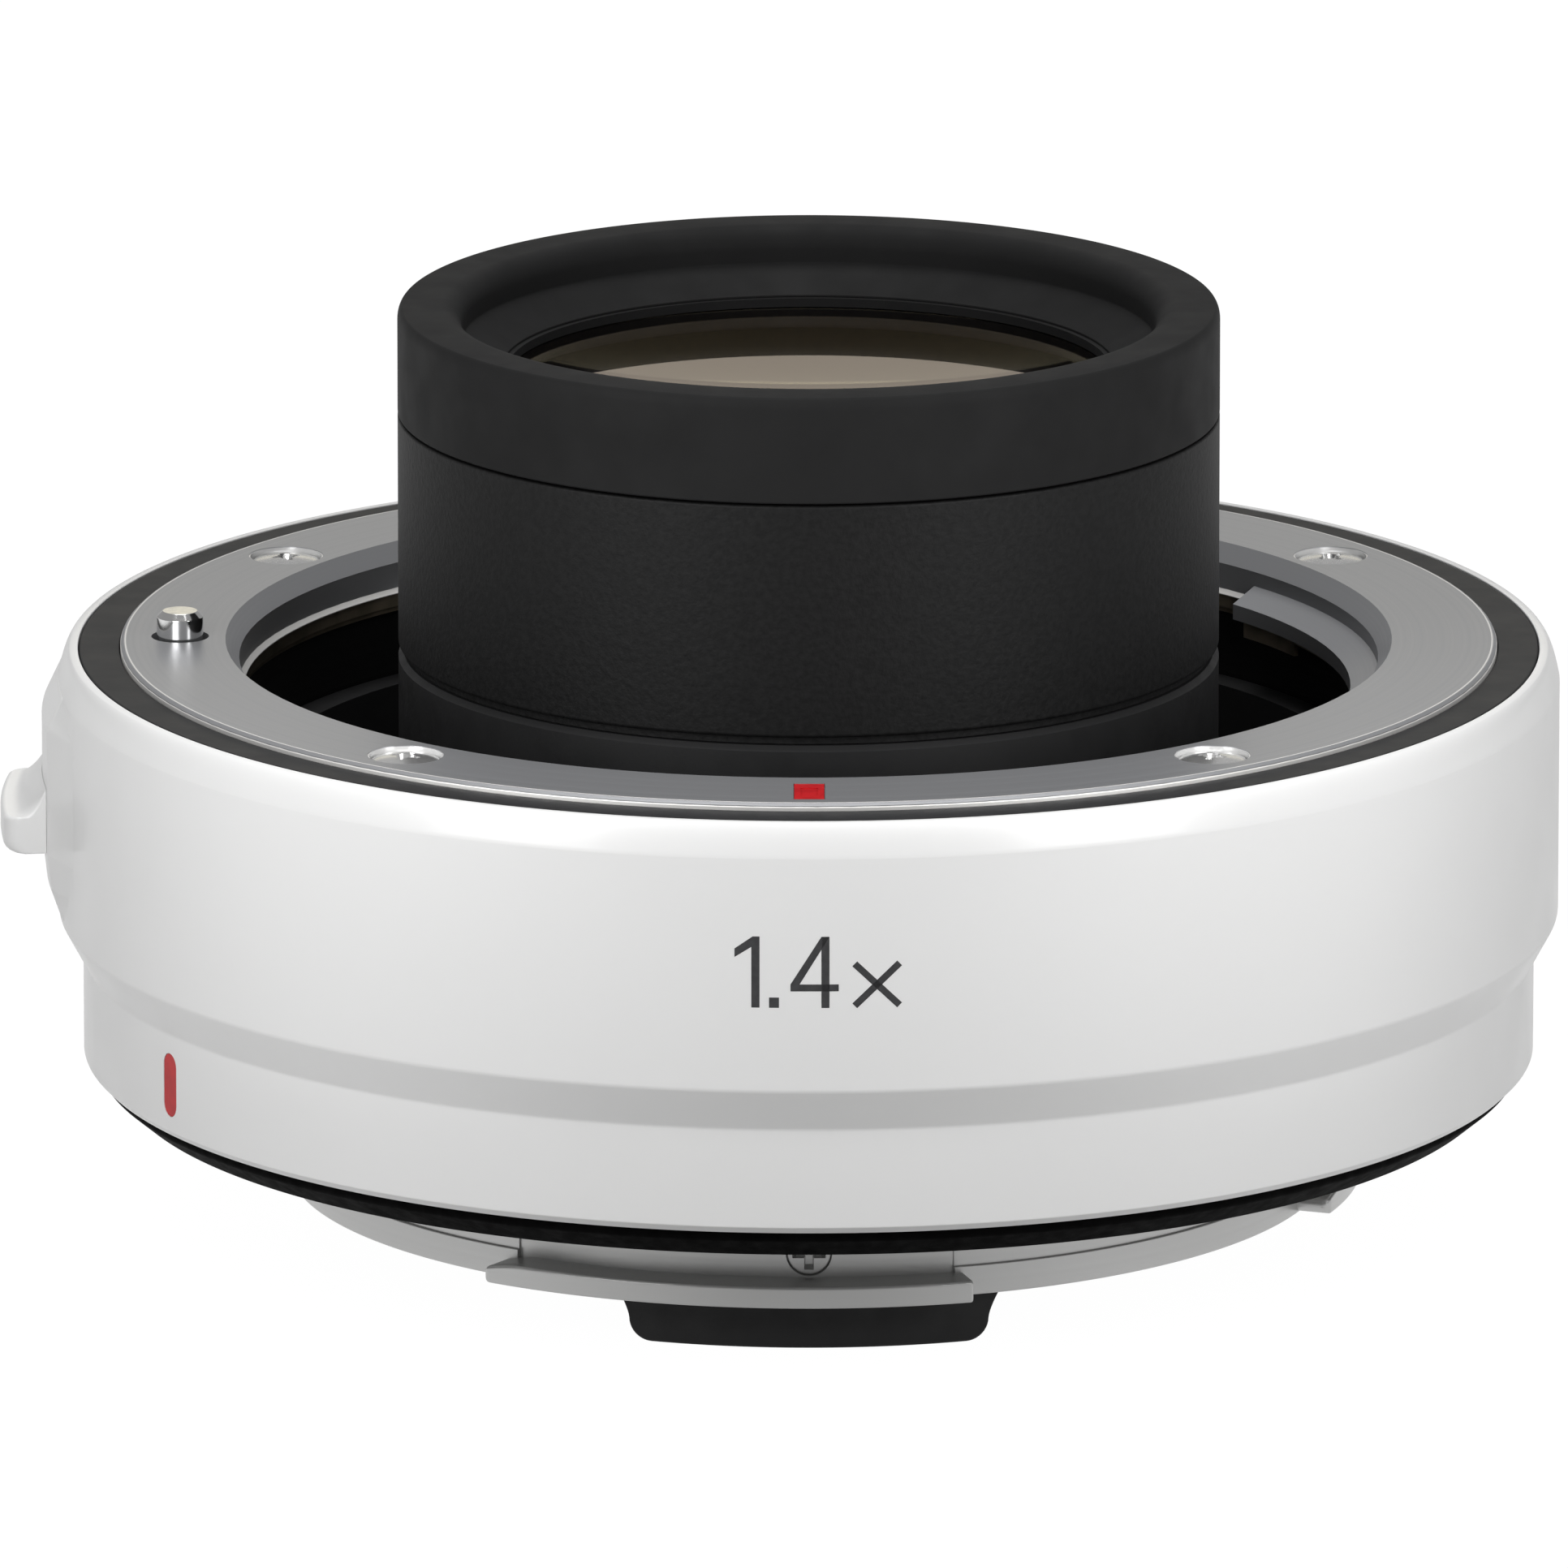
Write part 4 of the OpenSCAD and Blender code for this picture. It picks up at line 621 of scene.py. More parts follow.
FIGURE_BASE, FIGURE_TOP = 11.33, 14.72
BAR_BASE, BAR_TOP = 12.12, 12.45
CROSS_LEFT, CROSS_RIGHT, CROSS_BASE, CROSS_TOP, CROSS_W = 2.1, 4.18, 11.42, 13.42, 0.32
shapes = [
    [(-2.68, FIGURE_BASE), (-2.3, FIGURE_BASE), (-2.3, FIGURE_TOP), (-2.62, FIGURE_TOP), (-3.46, 14.13),
     (-3.46, 13.72), (-2.68, 14.22)],
    [(-1.86, FIGURE_BASE), (-1.4, FIGURE_BASE), (-1.4, 11.82), (-1.86, 11.82)],
    [(0.56, FIGURE_BASE), (0.93, FIGURE_BASE), (0.93, FIGURE_TOP), (0.56, FIGURE_TOP)],
    [(-0.87, BAR_BASE), (1.36, BAR_BASE), (1.36, BAR_TOP), (-0.87, BAR_TOP)],
    [(-0.87, BAR_TOP), (-0.45, BAR_TOP), (0.93, FIGURE_TOP), (0.56, FIGURE_TOP)],
    stroke(CROSS_LEFT, CROSS_BASE, CROSS_RIGHT, CROSS_TOP, CROSS_W),
    stroke(CROSS_LEFT, CROSS_TOP, CROSS_RIGHT, CROSS_BASE, CROSS_W),
]
print("strokes of the figure:", len(shapes))

# %% Bend them round the casing
STRIPS_LEFT, STRIPS_RIGHT, STRIP_W = -3.6, 4.4, 0.3
INK_IN, INK_OUT = CASING_R - 0.03, CASING_R + 0.007
figure = bmesh.new()
for corners in shapes:
    bm = bmesh.new()
    bm.faces.new([bm.verts.new((c[0], 0.0, c[1])) for c in corners])
    x = STRIPS_LEFT
    while x < STRIPS_RIGHT:
        everything = bm.verts[:] + bm.edges[:] + bm.faces[:]
        bmesh.ops.bisect_plane(bm, geom=everything, plane_co=(x, 0, 0), plane_no=(1, 0, 0))
        x += STRIP_W
    grown = bmesh.ops.extrude_face_region(bm, geom=bm.faces[:])
    for v in (g for g in grown["geom"] if isinstance(g, bmesh.types.BMVert)):
        v.co.y = 1.0
    for v in bm.verts:
        v.co = around(math.degrees(v.co.x / CASING_R), INK_OUT if v.co.y < 0.5 else INK_IN, v.co.z)
    bmesh.ops.recalc_face_normals(bm, faces=bm.faces)
    part = bpy.data.meshes.new("stroke")
    bm.to_mesh(part)
    bm.free()
    figure.from_mesh(part)
figure_mesh = bpy.data.meshes.new("figure")
figure.to_mesh(figure_mesh)
figure.free()
piece("magnification_figure", figure_mesh, figure_ink)

# %% [markdown]
# ## Rings of the front
# The trim ring is a flat band of dark anodised metal with broken edges. The lock pin is a short
# polished peg with a chamfered end; it rides on its own body, because the lever pulls it in. Both
# are turned on the real object, so both are spun here.

# %% Trim ring and lock pin
TRIM_IN_R, TRIM_R, TRIM_BASE, TRIM_TOP, TRIM_EDGE = 32.67, 34.57, 18.77, 19.97, 0.08
trim_mesh = lathe("trim", [
    (TRIM_IN_R, TRIM_BASE, 0), (TRIM_R, TRIM_BASE, 0), (TRIM_R, TRIM_TOP, TRIM_EDGE),
    (TRIM_IN_R, TRIM_TOP, TRIM_EDGE)], LARGE_STEPS)
piece("trim_ring", trim_mesh, dark_trim, stands_for=("front_trim_ring",))
PIN_TOP, PIN_R, PIN_CHAMFER = 21.55, 1.1, 0.28
COLLAR_R, COLLAR_TOP, COLLAR_BASE, COLLAR_EDGE = 1.5, 14.3, 13.3, 0.08
TAIL_R, TAIL_BASE = 0.6, 7.2
pin_mesh = lathe("pin", [
    (0, PIN_TOP, 0), (PIN_R - PIN_CHAMFER, PIN_TOP, FINE_EDGE), (PIN_R, PIN_TOP - PIN_CHAMFER, FINE_EDGE),
    (PIN_R, COLLAR_TOP, 0), (COLLAR_R, COLLAR_TOP, COLLAR_EDGE), (COLLAR_R, COLLAR_BASE, COLLAR_EDGE),
    (TAIL_R, COLLAR_BASE, 0), (TAIL_R, TAIL_BASE, SOFT_EDGE), (0, TAIL_BASE, 0),
], SMALL_STEPS, at=(-LOCK_R, 0.0))
piece("locking_pin", pin_mesh, polished_steel, "lock_pin", ("lock_pin",))

# %% [markdown]
# The steel ring itself keeps its solid. Three thin rings lie on it where the real one catches the
# light or lies in shade: a bevel along its outer edge, and in the throat a fine ledge over a dark band.
# The bevel and the ledge are a brighter copy of the steel, a painted highlight, and the band is a dark
# bronze sheet on the steel wall, a painted shade. Being edges in the mesh as well, they also brighten
# and darken as they turn.

# %% Bright outer edge of the steel ring
EDGE_IN_R, EDGE_R, EDGE_BASE, EDGE_TOP = 32.3, 32.63, 19.7, 20.305
EDGE_BEVEL, EDGE_ROUND, EDGE_LIP_R = 0.2, 0.03, 32.36
edge_mesh = lathe("edge", [
    (EDGE_IN_R, EDGE_BASE, 0), (EDGE_R, EDGE_BASE, 0), (EDGE_R, EDGE_TOP - EDGE_BEVEL, EDGE_ROUND),
    (EDGE_R - EDGE_BEVEL, EDGE_TOP, EDGE_ROUND), (EDGE_LIP_R, EDGE_TOP, 0),
    (EDGE_IN_R, EDGE_TOP - EDGE_BEVEL, 0)], LARGE_STEPS)
# The bevel ring is brightened by the painted highlight in its finish.
piece("mount_edge", edge_mesh, bevel_highlight_steel)

# %% Ledge and band of the throat
THROAT_R, LEDGE_R, LEDGE_BASE, LEDGE_TOP, LEDGE_NOSE = 27.04, 26.76, 17.98, 18.25, 0.04
BAND_R, BAND_BASE, BAND_GAP, BAND_ROUND = 26.94, 17.3, 0.01, 0.02
ledge_mesh = lathe("ledge", [
    (LEDGE_R, LEDGE_BASE, 0), (THROAT_R, LEDGE_BASE, 0), (THROAT_R, LEDGE_TOP, 0),
    (LEDGE_R, LEDGE_BASE + LEDGE_NOSE, 0)], LARGE_STEPS)
# The ledge is brightened by the same painted highlight.
piece("throat_ledge", ledge_mesh, bevel_highlight_steel)
# Painted shade: a dark bronze sheet on the steel throat wall under the ledge.
shade_band_mesh = lathe("band", [
    (BAND_R, BAND_BASE, BAND_ROUND), (THROAT_R, BAND_BASE, 0), (THROAT_R, LEDGE_BASE - BAND_GAP, 0),
    (BAND_R, LEDGE_BASE - BAND_GAP, 0)])
piece("throat_band", shade_band_mesh, aged_bronze)

# %% [markdown]
# ## Barrel
# The hood and the sleeve are two turned pieces that meet in a fine seam. The hood's rim is rounded
# outside and inside, and a sloping ledge leads down to the glass. The front lens is almost flat,
# so the near part of it mirrors the bright room over the far rim while the rest mirrors the hood.
# All three are spun; the roundings of the rim are arcs in the outline, so no modifier is needed.

# %% Hood and sleeve
BARREL_R, BARREL_TOP, SEAM_Z, HOOD_OPEN_R = 19.45, 36.4, 31.3, 16.4
HOOD_ROUND_W, HOOD_ROUND_H, HOOD_LIP = 0.28, 0.6, 1.05
CELL_R, HOOD_SEAT_R, HOOD_BASE = 15.32, 16.84, 25.35
LEDGE_OUT_Z, LEDGE_IN_R, LEDGE_IN_Z, LEDGE_UNDER = 34.68, 14.45, 33.56, 33.48
SLEEVE_IN_R, SLEEVE_FOOT_R, SLEEVE_BASE, SLEEVE_STEP = 18.28, 19.1, 19.78, 20.15
SLEEVE_ROUND, STEP_ROUND, SEAM_HALF = 0.25, 0.05, 0.05
seam_up, seam_down = SEAM_Z + SEAM_HALF, SEAM_Z - SEAM_HALF
hood_foot = [(CELL_R, HOOD_BASE, 0), (HOOD_SEAT_R, HOOD_BASE, 0), (HOOD_SEAT_R, seam_up, 0),
             (BARREL_R, seam_up, SOFT_EDGE)]
hood_outer = arc_corners(
    (BARREL_R - HOOD_ROUND_W, BARREL_TOP - HOOD_ROUND_H), (HOOD_ROUND_W, HOOD_ROUND_H),
    start=0, end=88, steps=10)
hood_inner = arc_corners(
    (HOOD_OPEN_R + HOOD_LIP, BARREL_TOP - HOOD_LIP), (HOOD_LIP, HOOD_LIP), start=90, end=180, steps=12)
hood_ledge = [(HOOD_OPEN_R, LEDGE_OUT_Z, SOFT_EDGE), (LEDGE_IN_R, LEDGE_IN_Z, FINE_EDGE),
              (LEDGE_IN_R, LEDGE_UNDER, 0), (CELL_R, LEDGE_UNDER, 0)]
hood_mesh = lathe("hood", hood_foot + hood_outer + hood_inner + hood_ledge)
piece("barrel_front_hood", hood_mesh, hood_black, stands_for=("barrel_hood",))
sleeve_mesh = lathe("sleeve", [
    (SLEEVE_IN_R, SLEEVE_BASE, 0), (SLEEVE_FOOT_R, SLEEVE_BASE, 0),
    (SLEEVE_FOOT_R, SLEEVE_STEP, STEP_ROUND), (BARREL_R, SLEEVE_STEP, SLEEVE_ROUND),
    (BARREL_R, seam_down, SOFT_EDGE), (SLEEVE_IN_R, seam_down, 0)])
piece("barrel_crinkle_sleeve", sleeve_mesh, crinkle_black, stands_for=("barrel_sleeve",))


# %% Front lens
def lens_curve(edge_z, bulge, clear, power=2, steps=28):
    """Plain corners of a lens surface from its rim to its middle."""
    inward = [k / steps for k in range(steps + 1)]
    return [(clear * (1 - t), edge_z + bulge * (1 - (1 - t) ** power), 0) for t in inward]


LENS_R, LENS_BASE, LENS_TOP, LENS_EDGE, LENS_STEPS = 15.25, 31.05, 33.0, 0.05, 192
FRONT_CLEAR, FRONT_BULGE, FRONT_POWER = 14.2, 0.16, 6
BACK_CLEAR, BACK_BULGE = 13.4, -1.4
lens_front = lens_curve(LENS_TOP, FRONT_BULGE, FRONT_CLEAR, FRONT_POWER)
lens_back = lens_curve(LENS_BASE, BACK_BULGE, BACK_CLEAR)
lens_rim = [(LENS_R, LENS_BASE, LENS_EDGE), (LENS_R, LENS_TOP, LENS_EDGE)]
lens_mesh = lathe("lens", lens_rim + lens_front + list(reversed(lens_back)), LENS_STEPS)
piece("front_lens", lens_mesh, front_glass, stands_for=("lens_1",))

# %% [markdown]
# ## Screws
# The screws repeat, so one of each kind is modelled and Geometry Nodes sets a copy on every point.
# The points carry the turn of each screw. A pan head is a low dome with a cross recess whose wings
# taper in; the flat heads are the same with a cone for a neck. The recess is cut with a Boolean,
# because a drawn cross would have no depth to hold a shadow.

# %% The cutter of a cross recess
CUTTER_TAPER, CUTTER_CLEAR, PIT_SINK = 0.65, 0.3, 0.02
PIT_BASE_SHARE, PIT_TOP_SHARE, PIT_SIDES = 0.2, 0.32, 20
WEDGE_APART = 1.0001


def cross_cutter(radius, depth, top, wing, wide):
    """Two crossed wedges and a centre pit, as a screwdriver fits them."""
    bm = bmesh.new()
    for turn in (0, 1):
        for v in bmesh.ops.create_cube(bm, size=1.0)["verts"]:
            low = v.co.z < 0
            narrow = 2 * radius * (CUTTER_TAPER if low else 1.0)
            along, across = v.co.x * wing * narrow, v.co.y * wide * narrow
            z = top - depth if low else top + CUTTER_CLEAR
            v.co = Vector((along, across, z)) if turn == 0 else Vector((across, along, z * WEDGE_APART))
    pit = bmesh.ops.create_cone(
        bm, cap_ends=True, segments=PIT_SIDES, radius1=radius * PIT_BASE_SHARE,
        radius2=radius * PIT_TOP_SHARE, depth=depth + CUTTER_CLEAR)["verts"]
    for v in pit:
        v.co.z += top + (CUTTER_CLEAR - depth) / 2 - PIT_SINK
    for v in bm.verts:
        v.co *= MM
    bmesh.ops.recalc_face_normals(bm, faces=bm.faces)
    mesh = bpy.data.meshes.new("recess")
    bm.to_mesh(mesh)
    bm.free()
    return mesh


# %% One screw as a mesh
SUNK_EDGE, PAN_EDGE, CROWN_STEPS = 0.06, 0.12, 6
SUNK_DEPTH, PAN_DEPTH = 0.75, 0.9


def screw_mesh(head, thread, length, head_h=0.0, dome=0.0, wing=0.66, wide=0.15):
    """A screw in millimetres round the Z axis: a pan head sits on 0, a sunk one ends flat at 0."""
    shank = [(thread, -length, SOFT_EDGE), (0, -length, 0)]
    if head_h == 0:
        cone = head - thread
        corners = [(0, 0, 0), (head, 0, SUNK_EDGE), (thread, -cone, 0)] + shank
        depth = cone * SUNK_DEPTH
    else:
        crown = [(head * t, head_h - dome * t**2, 0) for t in (k / CROWN_STEPS for k in range(CROWN_STEPS))]
        corners = crown + [(head, head_h - dome, PAN_EDGE), (head, 0, FINE_EDGE), (thread, 0, 0)] + shank
        depth = head_h * PAN_DEPTH
    cutter = cross_cutter(head, depth, head_h, wing, wide)
    return joined(lathe("screw", corners, SMALL_STEPS), cutter, "DIFFERENCE", True)


face_screw = screw_mesh(head=1.62, thread=0.85, length=3.6, head_h=0.5, dome=0.22, wing=0.5, wide=0.11)
flange_screw = screw_mesh(head=1.5, thread=0.7, length=3.0)
neck_screw = screw_mesh(head=1.1, thread=0.6, length=2.25, wing=0.84, wide=0.24)
print("faces of a face screw:", len(face_screw.polygons))


# %% A node tree that sets a shape on every point
def new_tree(name, inputs):
    """A node tree with named inputs, its input node's outputs, and the identifiers that set them."""
    tree = bpy.data.node_groups.new(name, "GeometryNodeTree")
    ids = {}
    for label, kind in inputs.items():
        socket = tree.interface.new_socket(name=label, in_out="INPUT", socket_type="NodeSocket" + kind)
        ids[label] = socket.identifier
    tree.interface.new_socket(name="Result", in_out="OUTPUT", socket_type="NodeSocketGeometry")
    return tree, tree.nodes.new("NodeGroupInput").outputs, ids


def set_copies(tree, given, shape):
    """Copies of a shape on the given points, made real and dressed in the given finish."""
    new, link = tree.nodes.new, tree.links.new
    copies, solid = new("GeometryNodeInstanceOnPoints"), new("GeometryNodeRealizeInstances")
    finish, result = new("GeometryNodeSetMaterial"), new("NodeGroupOutput")
    link(given["Points"], copies.inputs["Points"])
    link(shape, copies.inputs["Instance"])
    link(copies.outputs["Instances"], solid.inputs["Geometry"])
    link(solid.outputs["Geometry"], finish.inputs["Geometry"])
    link(given["Finish"], finish.inputs["Material"])
    link(finish.outputs["Geometry"], result.inputs["Result"])
    return copies


def set_on_points_tree():
    """Copies of an object on points, each turned by the point's own turn."""
    tree, given, ids = new_tree(
        "set_on_points", {"Points": "Geometry", "Shape": "Object", "Finish": "Material"})
    new, link = tree.nodes.new, tree.links.new
    shape, rotate = new("GeometryNodeObjectInfo"), new("FunctionNodeEulerToRotation")
    turn = new("GeometryNodeInputNamedAttribute")
    turn.data_type = "FLOAT_VECTOR"
    turn.inputs["Name"].default_value = "turn"
    link(given["Shape"], shape.inputs["Object"])
    link(turn.outputs["Attribute"], rotate.inputs["Euler"])
    copies = set_copies(tree, given, shape.outputs["Geometry"])
    link(rotate.outputs["Rotation"], copies.inputs["Rotation"])
    return tree, ids


points_tree, points_ids = set_on_points_tree()
print("nodes in the tree:", len(points_tree.nodes))


# %% Face screws
def point_cloud(places):
    """A mesh of bare points, each with a turn, from (position, euler) pairs."""
    mesh = bpy.data.meshes.new("points")
    mesh.from_pydata([p for p, _ in places], [], [])
    turns = mesh.attributes.new("turn", "FLOAT_VECTOR", "POINT")
    for i, (_, euler) in enumerate(places):
        turns.data[i].vector = euler
    return linked("points", mesh)


def set_row(name, mesh, places, node, finish=polished_steel):
    """Sets a shape on every place and makes the row one piece."""
    shape = linked("shape", mesh)
    row = point_cloud(places)
    setter = row.modifiers.new("set", "NODES")
    setter.node_group = points_tree
    setter[points_ids["Shape"]] = shape
    setter[points_ids["Finish"]] = finish
    result = evaluated(row)
    bpy.data.objects.remove(shape)
    piece(name, result, finish, stands_for=(node,) if node else ())


FACE_SCREW_ANGLES, FACE_SCREW_TURNS = (-38.9, 38.9, 123.0, -123.0), (12, 33, 5, 52)
FACE_SCREW_R, FACE_SEAT_Z = 29.9, 19.78
face_places = [(around(a, FACE_SCREW_R, FACE_SEAT_Z), (0.0, 0.0, math.radians(a + turn)))
               for a, turn in zip(FACE_SCREW_ANGLES, FACE_SCREW_TURNS)]
set_row("face_screws", face_screw, face_places, "front_mount_screws", finish=satin_steel)

# %% [markdown]
# Each face screw lies in a counterbore whose turned wall shines. A thin ring per screw stands for
# that wall in a bright finish, a painted highlight, and the same node tree sets it, so ring and screw
# can't drift apart.

# %% Seats of the face screws
SEAT_IN_R, SEAT_R, SEAT_H = 1.73, 1.77, 0.49
seat_ring = lathe("seat", [(SEAT_IN_R, 0, 0), (SEAT_R, 0, 0), (SEAT_R, SEAT_H, 0), (SEAT_IN_R, SEAT_H, 0)],
                  SMALL_STEPS)
# The seat rings carry the painted highlight of the counterbore walls.
set_row("face_screw_seats", seat_ring, face_places, None, seat_highlight_steel)

# %% Screws of the rear
REAR_SCREWS = ((45, 10), (135, 40), (225, 62), (315, 25))
REAR_SCREW_R, REAR_SEAT_Z = 29.19, 0.08
NECK_SCREW_ANGLES, NECK_SEAT_R, NECK_SCREW_Z = (0, 120, 240), NECK_R - 0.2, -3.4
rear_places = [(around(a, REAR_SCREW_R, REAR_SEAT_Z), (math.pi, 0.0, math.radians(a + turn)))
               for a, turn in REAR_SCREWS]
neck_places = [(around(a, NECK_SEAT_R, NECK_SCREW_Z), (math.pi / 2, 0.0, math.radians(a)))
               for a in NECK_SCREW_ANGLES]
set_row("flange_screws", flange_screw, rear_places, "rear_mount_screws")
set_row("neck_screw_row", neck_screw, neck_places, "neck_screws", finish=neck_steel)

# %% [markdown]
# ## Springs
# Rings in a stack would pass for a spring from afar, but a real coil runs on without a break. It
# follows a rule, so the Spiral curve makes it: a circle is swept along it.

# %% A node tree that winds a coil on every point
SPIRAL_STEPS, WIRE_SIDES = 20, 10


def coil_tree():
    """One coil from its radius, wire, height and turns, set on every point."""
    tree, given, ids = new_tree("wind_coils", {
        "Points": "Geometry", "Mean Radius": "Float", "Wire Radius": "Float", "Height": "Float",
        "Turns": "Float", "Finish": "Material"})
    new, link = tree.nodes.new, tree.links.new
    spiral, wire = new("GeometryNodeCurveSpiral"), new("GeometryNodeCurvePrimitiveCircle")
    sweep = new("GeometryNodeCurveToMesh")
    spiral.inputs["Resolution"].default_value = SPIRAL_STEPS
    wire.inputs["Resolution"].default_value = WIRE_SIDES
    sweep.inputs["Fill Caps"].default_value = True
    link(given["Mean Radius"], spiral.inputs["Start Radius"])
    link(given["Mean Radius"], spiral.inputs["End Radius"])
    link(given["Height"], spiral.inputs["Height"])
    link(given["Turns"], spiral.inputs["Rotations"])
    link(given["Wire Radius"], wire.inputs["Radius"])
    link(spiral.outputs["Curve"], sweep.inputs["Curve"])
    link(wire.outputs["Curve"], sweep.inputs["Profile Curve"])
    set_copies(tree, given, sweep.outputs["Mesh"])
    return tree, ids


coils_tree, coil_ids = coil_tree()
print("nodes in the tree:", len(coils_tree.nodes))


# %% Wind the springs
def coils(name, places, mean, wire, base, top, turns, node):
    """Winds a coil at every place between two heights."""
    row = point_cloud([(Vector((p.x, p.y, (base + wire) * MM)), (0, 0, 0)) for p in places])
    winder = row.modifiers.new("wind", "NODES")
    winder.node_group = coils_tree
    winder[coil_ids["Mean Radius"]] = mean * MM
    winder[coil_ids["Wire Radius"]] = wire * MM
    winder[coil_ids["Height"]] = (top - base - 2 * wire) * MM
    winder[coil_ids["Turns"]] = float(turns)
    winder[coil_ids["Finish"]] = spring_wire
    mesh = evaluated(row)
    mesh.shade_smooth()
    obj = piece(name, mesh, spring_wire, stands_for=(node,))
    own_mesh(obj)


CONTACTS, CONTACT_R, CONTACT_PITCH = 12, 22.99, 1.15
contact_step = 2 * math.degrees(math.asin(CONTACT_PITCH / 2 / CONTACT_R))
contact_places = [around((i - (CONTACTS - 1) / 2) * contact_step, CONTACT_R, 0) for i in range(CONTACTS)]
coils("pin_coil", [around(LOCK_ANGLE, LOCK_R, 0)], mean=1.05, wire=0.12, base=5.03, top=13.27, turns=8,
      node="lock_pin_spring")
coils("contact_coils", contact_places, mean=0.34, wire=0.07, base=8.43, top=10.17, turns=4,
      node="contact_springs")

# %% [markdown]
# ## Release lever
# The knob is a slice of a ring, hollowed on top for a thumbnail. Its outline is swept through a
# small sector and drawn in at both ends, which rounds them without a modifier. A stem reaches
# through the slot to the carriage inside.

# %% Outline of the knob
KNOB_R, KNOB_BACK_R, KNOB_BASE, KNOB_TOP = 38.36, 36.385, 10.85, 14.05
KNOB_TIP, SCOOP_R, SCOOP_TURN, SCOOP_STEPS = 12.65, 37.83, 1.75, 12
KNOB_FOOT_ROUND, KNOB_TIP_ROUND = 0.6, 0.25
scoop = [(SCOOP_R + (KNOB_BACK_R - SCOOP_R) * t, KNOB_TIP + (KNOB_TOP - KNOB_TIP) * t**SCOOP_TURN, 0)
         for t in (k / SCOOP_STEPS for k in range(SCOOP_STEPS + 1))]
knob_outline = soft_outline([
    (KNOB_BACK_R, KNOB_BASE, 0), (KNOB_R, KNOB_BASE, KNOB_FOOT_ROUND), (KNOB_R, KNOB_TIP, KNOB_TIP_ROUND),
] + scoop)
print("points in the knob's outline:", len(knob_outline))


# %% Sweep the knob and add its stem
def drawn_in(rounding, left):
    """How far a rounded edge has drawn in at a distance from the end."""
    gap = max(rounding - left, 0)
    return rounding - math.sqrt(rounding**2 - gap**2)


KNOB_REACH, KNOB_CORNER, KNOB_EDGE, KNOB_STEPS = 5.0, 0.9, 0.08, 60
STEM_W, STEM_IN_R, STEM_R, STEM_BASE, STEM_TOP = 3.0, 33.5, 36.82, 11.2, 13.2
knob_half = math.degrees(math.asin(KNOB_REACH / KNOB_R))
knob_middle = (KNOB_BASE + KNOB_TIP) / 2
knob_rows = []
for i in range(-KNOB_STEPS, KNOB_STEPS + 1):
    turn = knob_half * math.sin(math.pi / 2 * i / KNOB_STEPS)
    left = KNOB_R * math.radians(knob_half - abs(turn))
    squeeze = 1 - drawn_in(KNOB_CORNER, left) / (KNOB_R - KNOB_BACK_R)
    thin = 1 - drawn_in(KNOB_EDGE, left) / (knob_middle - KNOB_BASE)
    knob_rows.append([around(LOCK_ANGLE + turn, KNOB_BACK_R + (p.x - KNOB_BACK_R) * squeeze,
                             knob_middle + (p.y - knob_middle) * thin) for p in knob_outline])
stem_mesh = block_at("stem", LOCK_ANGLE, STEM_W, STEM_IN_R, STEM_R, STEM_BASE, STEM_TOP)
lever_mesh = joined(swept("knob", knob_rows), stem_mesh, "UNION")
piece("lever_knob", lever_mesh, white_enamel, "release_lever", ("release_lever",))

# %% [markdown]
# ## Rear
# The rear mount is one turned steel piece: a flange, a short spigot, and a neck with three lugs. Each
# lug starts with a lead-in: its top slopes down and its end is rounded, so that it finds its way under
# the camera's tabs. Above a lug the neck is cut a little deeper, where those tabs slide. The round
# parts are spun, and what breaks the round is swept and joined or cut with a Boolean.

# %% Turn the rear mount and cut its grooves
NECK_IN_R, NECK_BASE, NECK_BAND_TOP, NECK_STEP = 23.4, -5.68, -4.25, 0.15
SPIGOT_R, SPIGOT_BASE, SPIGOT_EDGE, FLANGE_R, FLANGE_TOP = 26.95, -1.2, 0.12, 31.43, 1.6
LUG_SPANS = ((-35.5, 17.0), (69.0, 126.0), (190.0, 225.0))
GROOVE_AFTER, GROOVE_BEFORE, GROOVE_DEPTH, GROOVE_OUT_R, GROOVE_BASE = 2, 1, 0.25, 26.0, -4.9
mount_mesh = lathe("rear_mount", [
    (NECK_IN_R, NECK_BASE, SOFT_EDGE), (NECK_R, NECK_BASE, SOFT_EDGE), (NECK_R, NECK_BAND_TOP, FINE_EDGE),
    (NECK_R - NECK_STEP, NECK_BAND_TOP, 0), (NECK_R - NECK_STEP, SPIGOT_BASE, 0),
    (SPIGOT_R, SPIGOT_BASE, SPIGOT_EDGE), (SPIGOT_R, 0.0, 0), (FLANGE_R, 0.0, SOFT_EDGE),
    (FLANGE_R, FLANGE_TOP, SOFT_EDGE), (NECK_IN_R, FLANGE_TOP, SOFT_EDGE)])


def arc_block(name, first, last, inner, outer, base, top, steps=60):
    """A plain slice of a ring, used as a cutter."""
    corners = ((inner, base), (outer, base), (outer, top), (inner, top))
    turns = [first + (last - first) * i / steps for i in range(steps + 1)]
    return swept(name, [[around(a, r, z) for r, z in corners] for a in turns])


for first, last in LUG_SPANS:
    groove = arc_block("groove", first + GROOVE_AFTER, last - GROOVE_BEFORE, NECK_R - GROOVE_DEPTH,
                       GROOVE_OUT_R, GROOVE_BASE, SPIGOT_BASE)
    mount_mesh = joined(mount_mesh, groove, "DIFFERENCE")
print("mount with its grooves, faces:", len(mount_mesh.polygons))

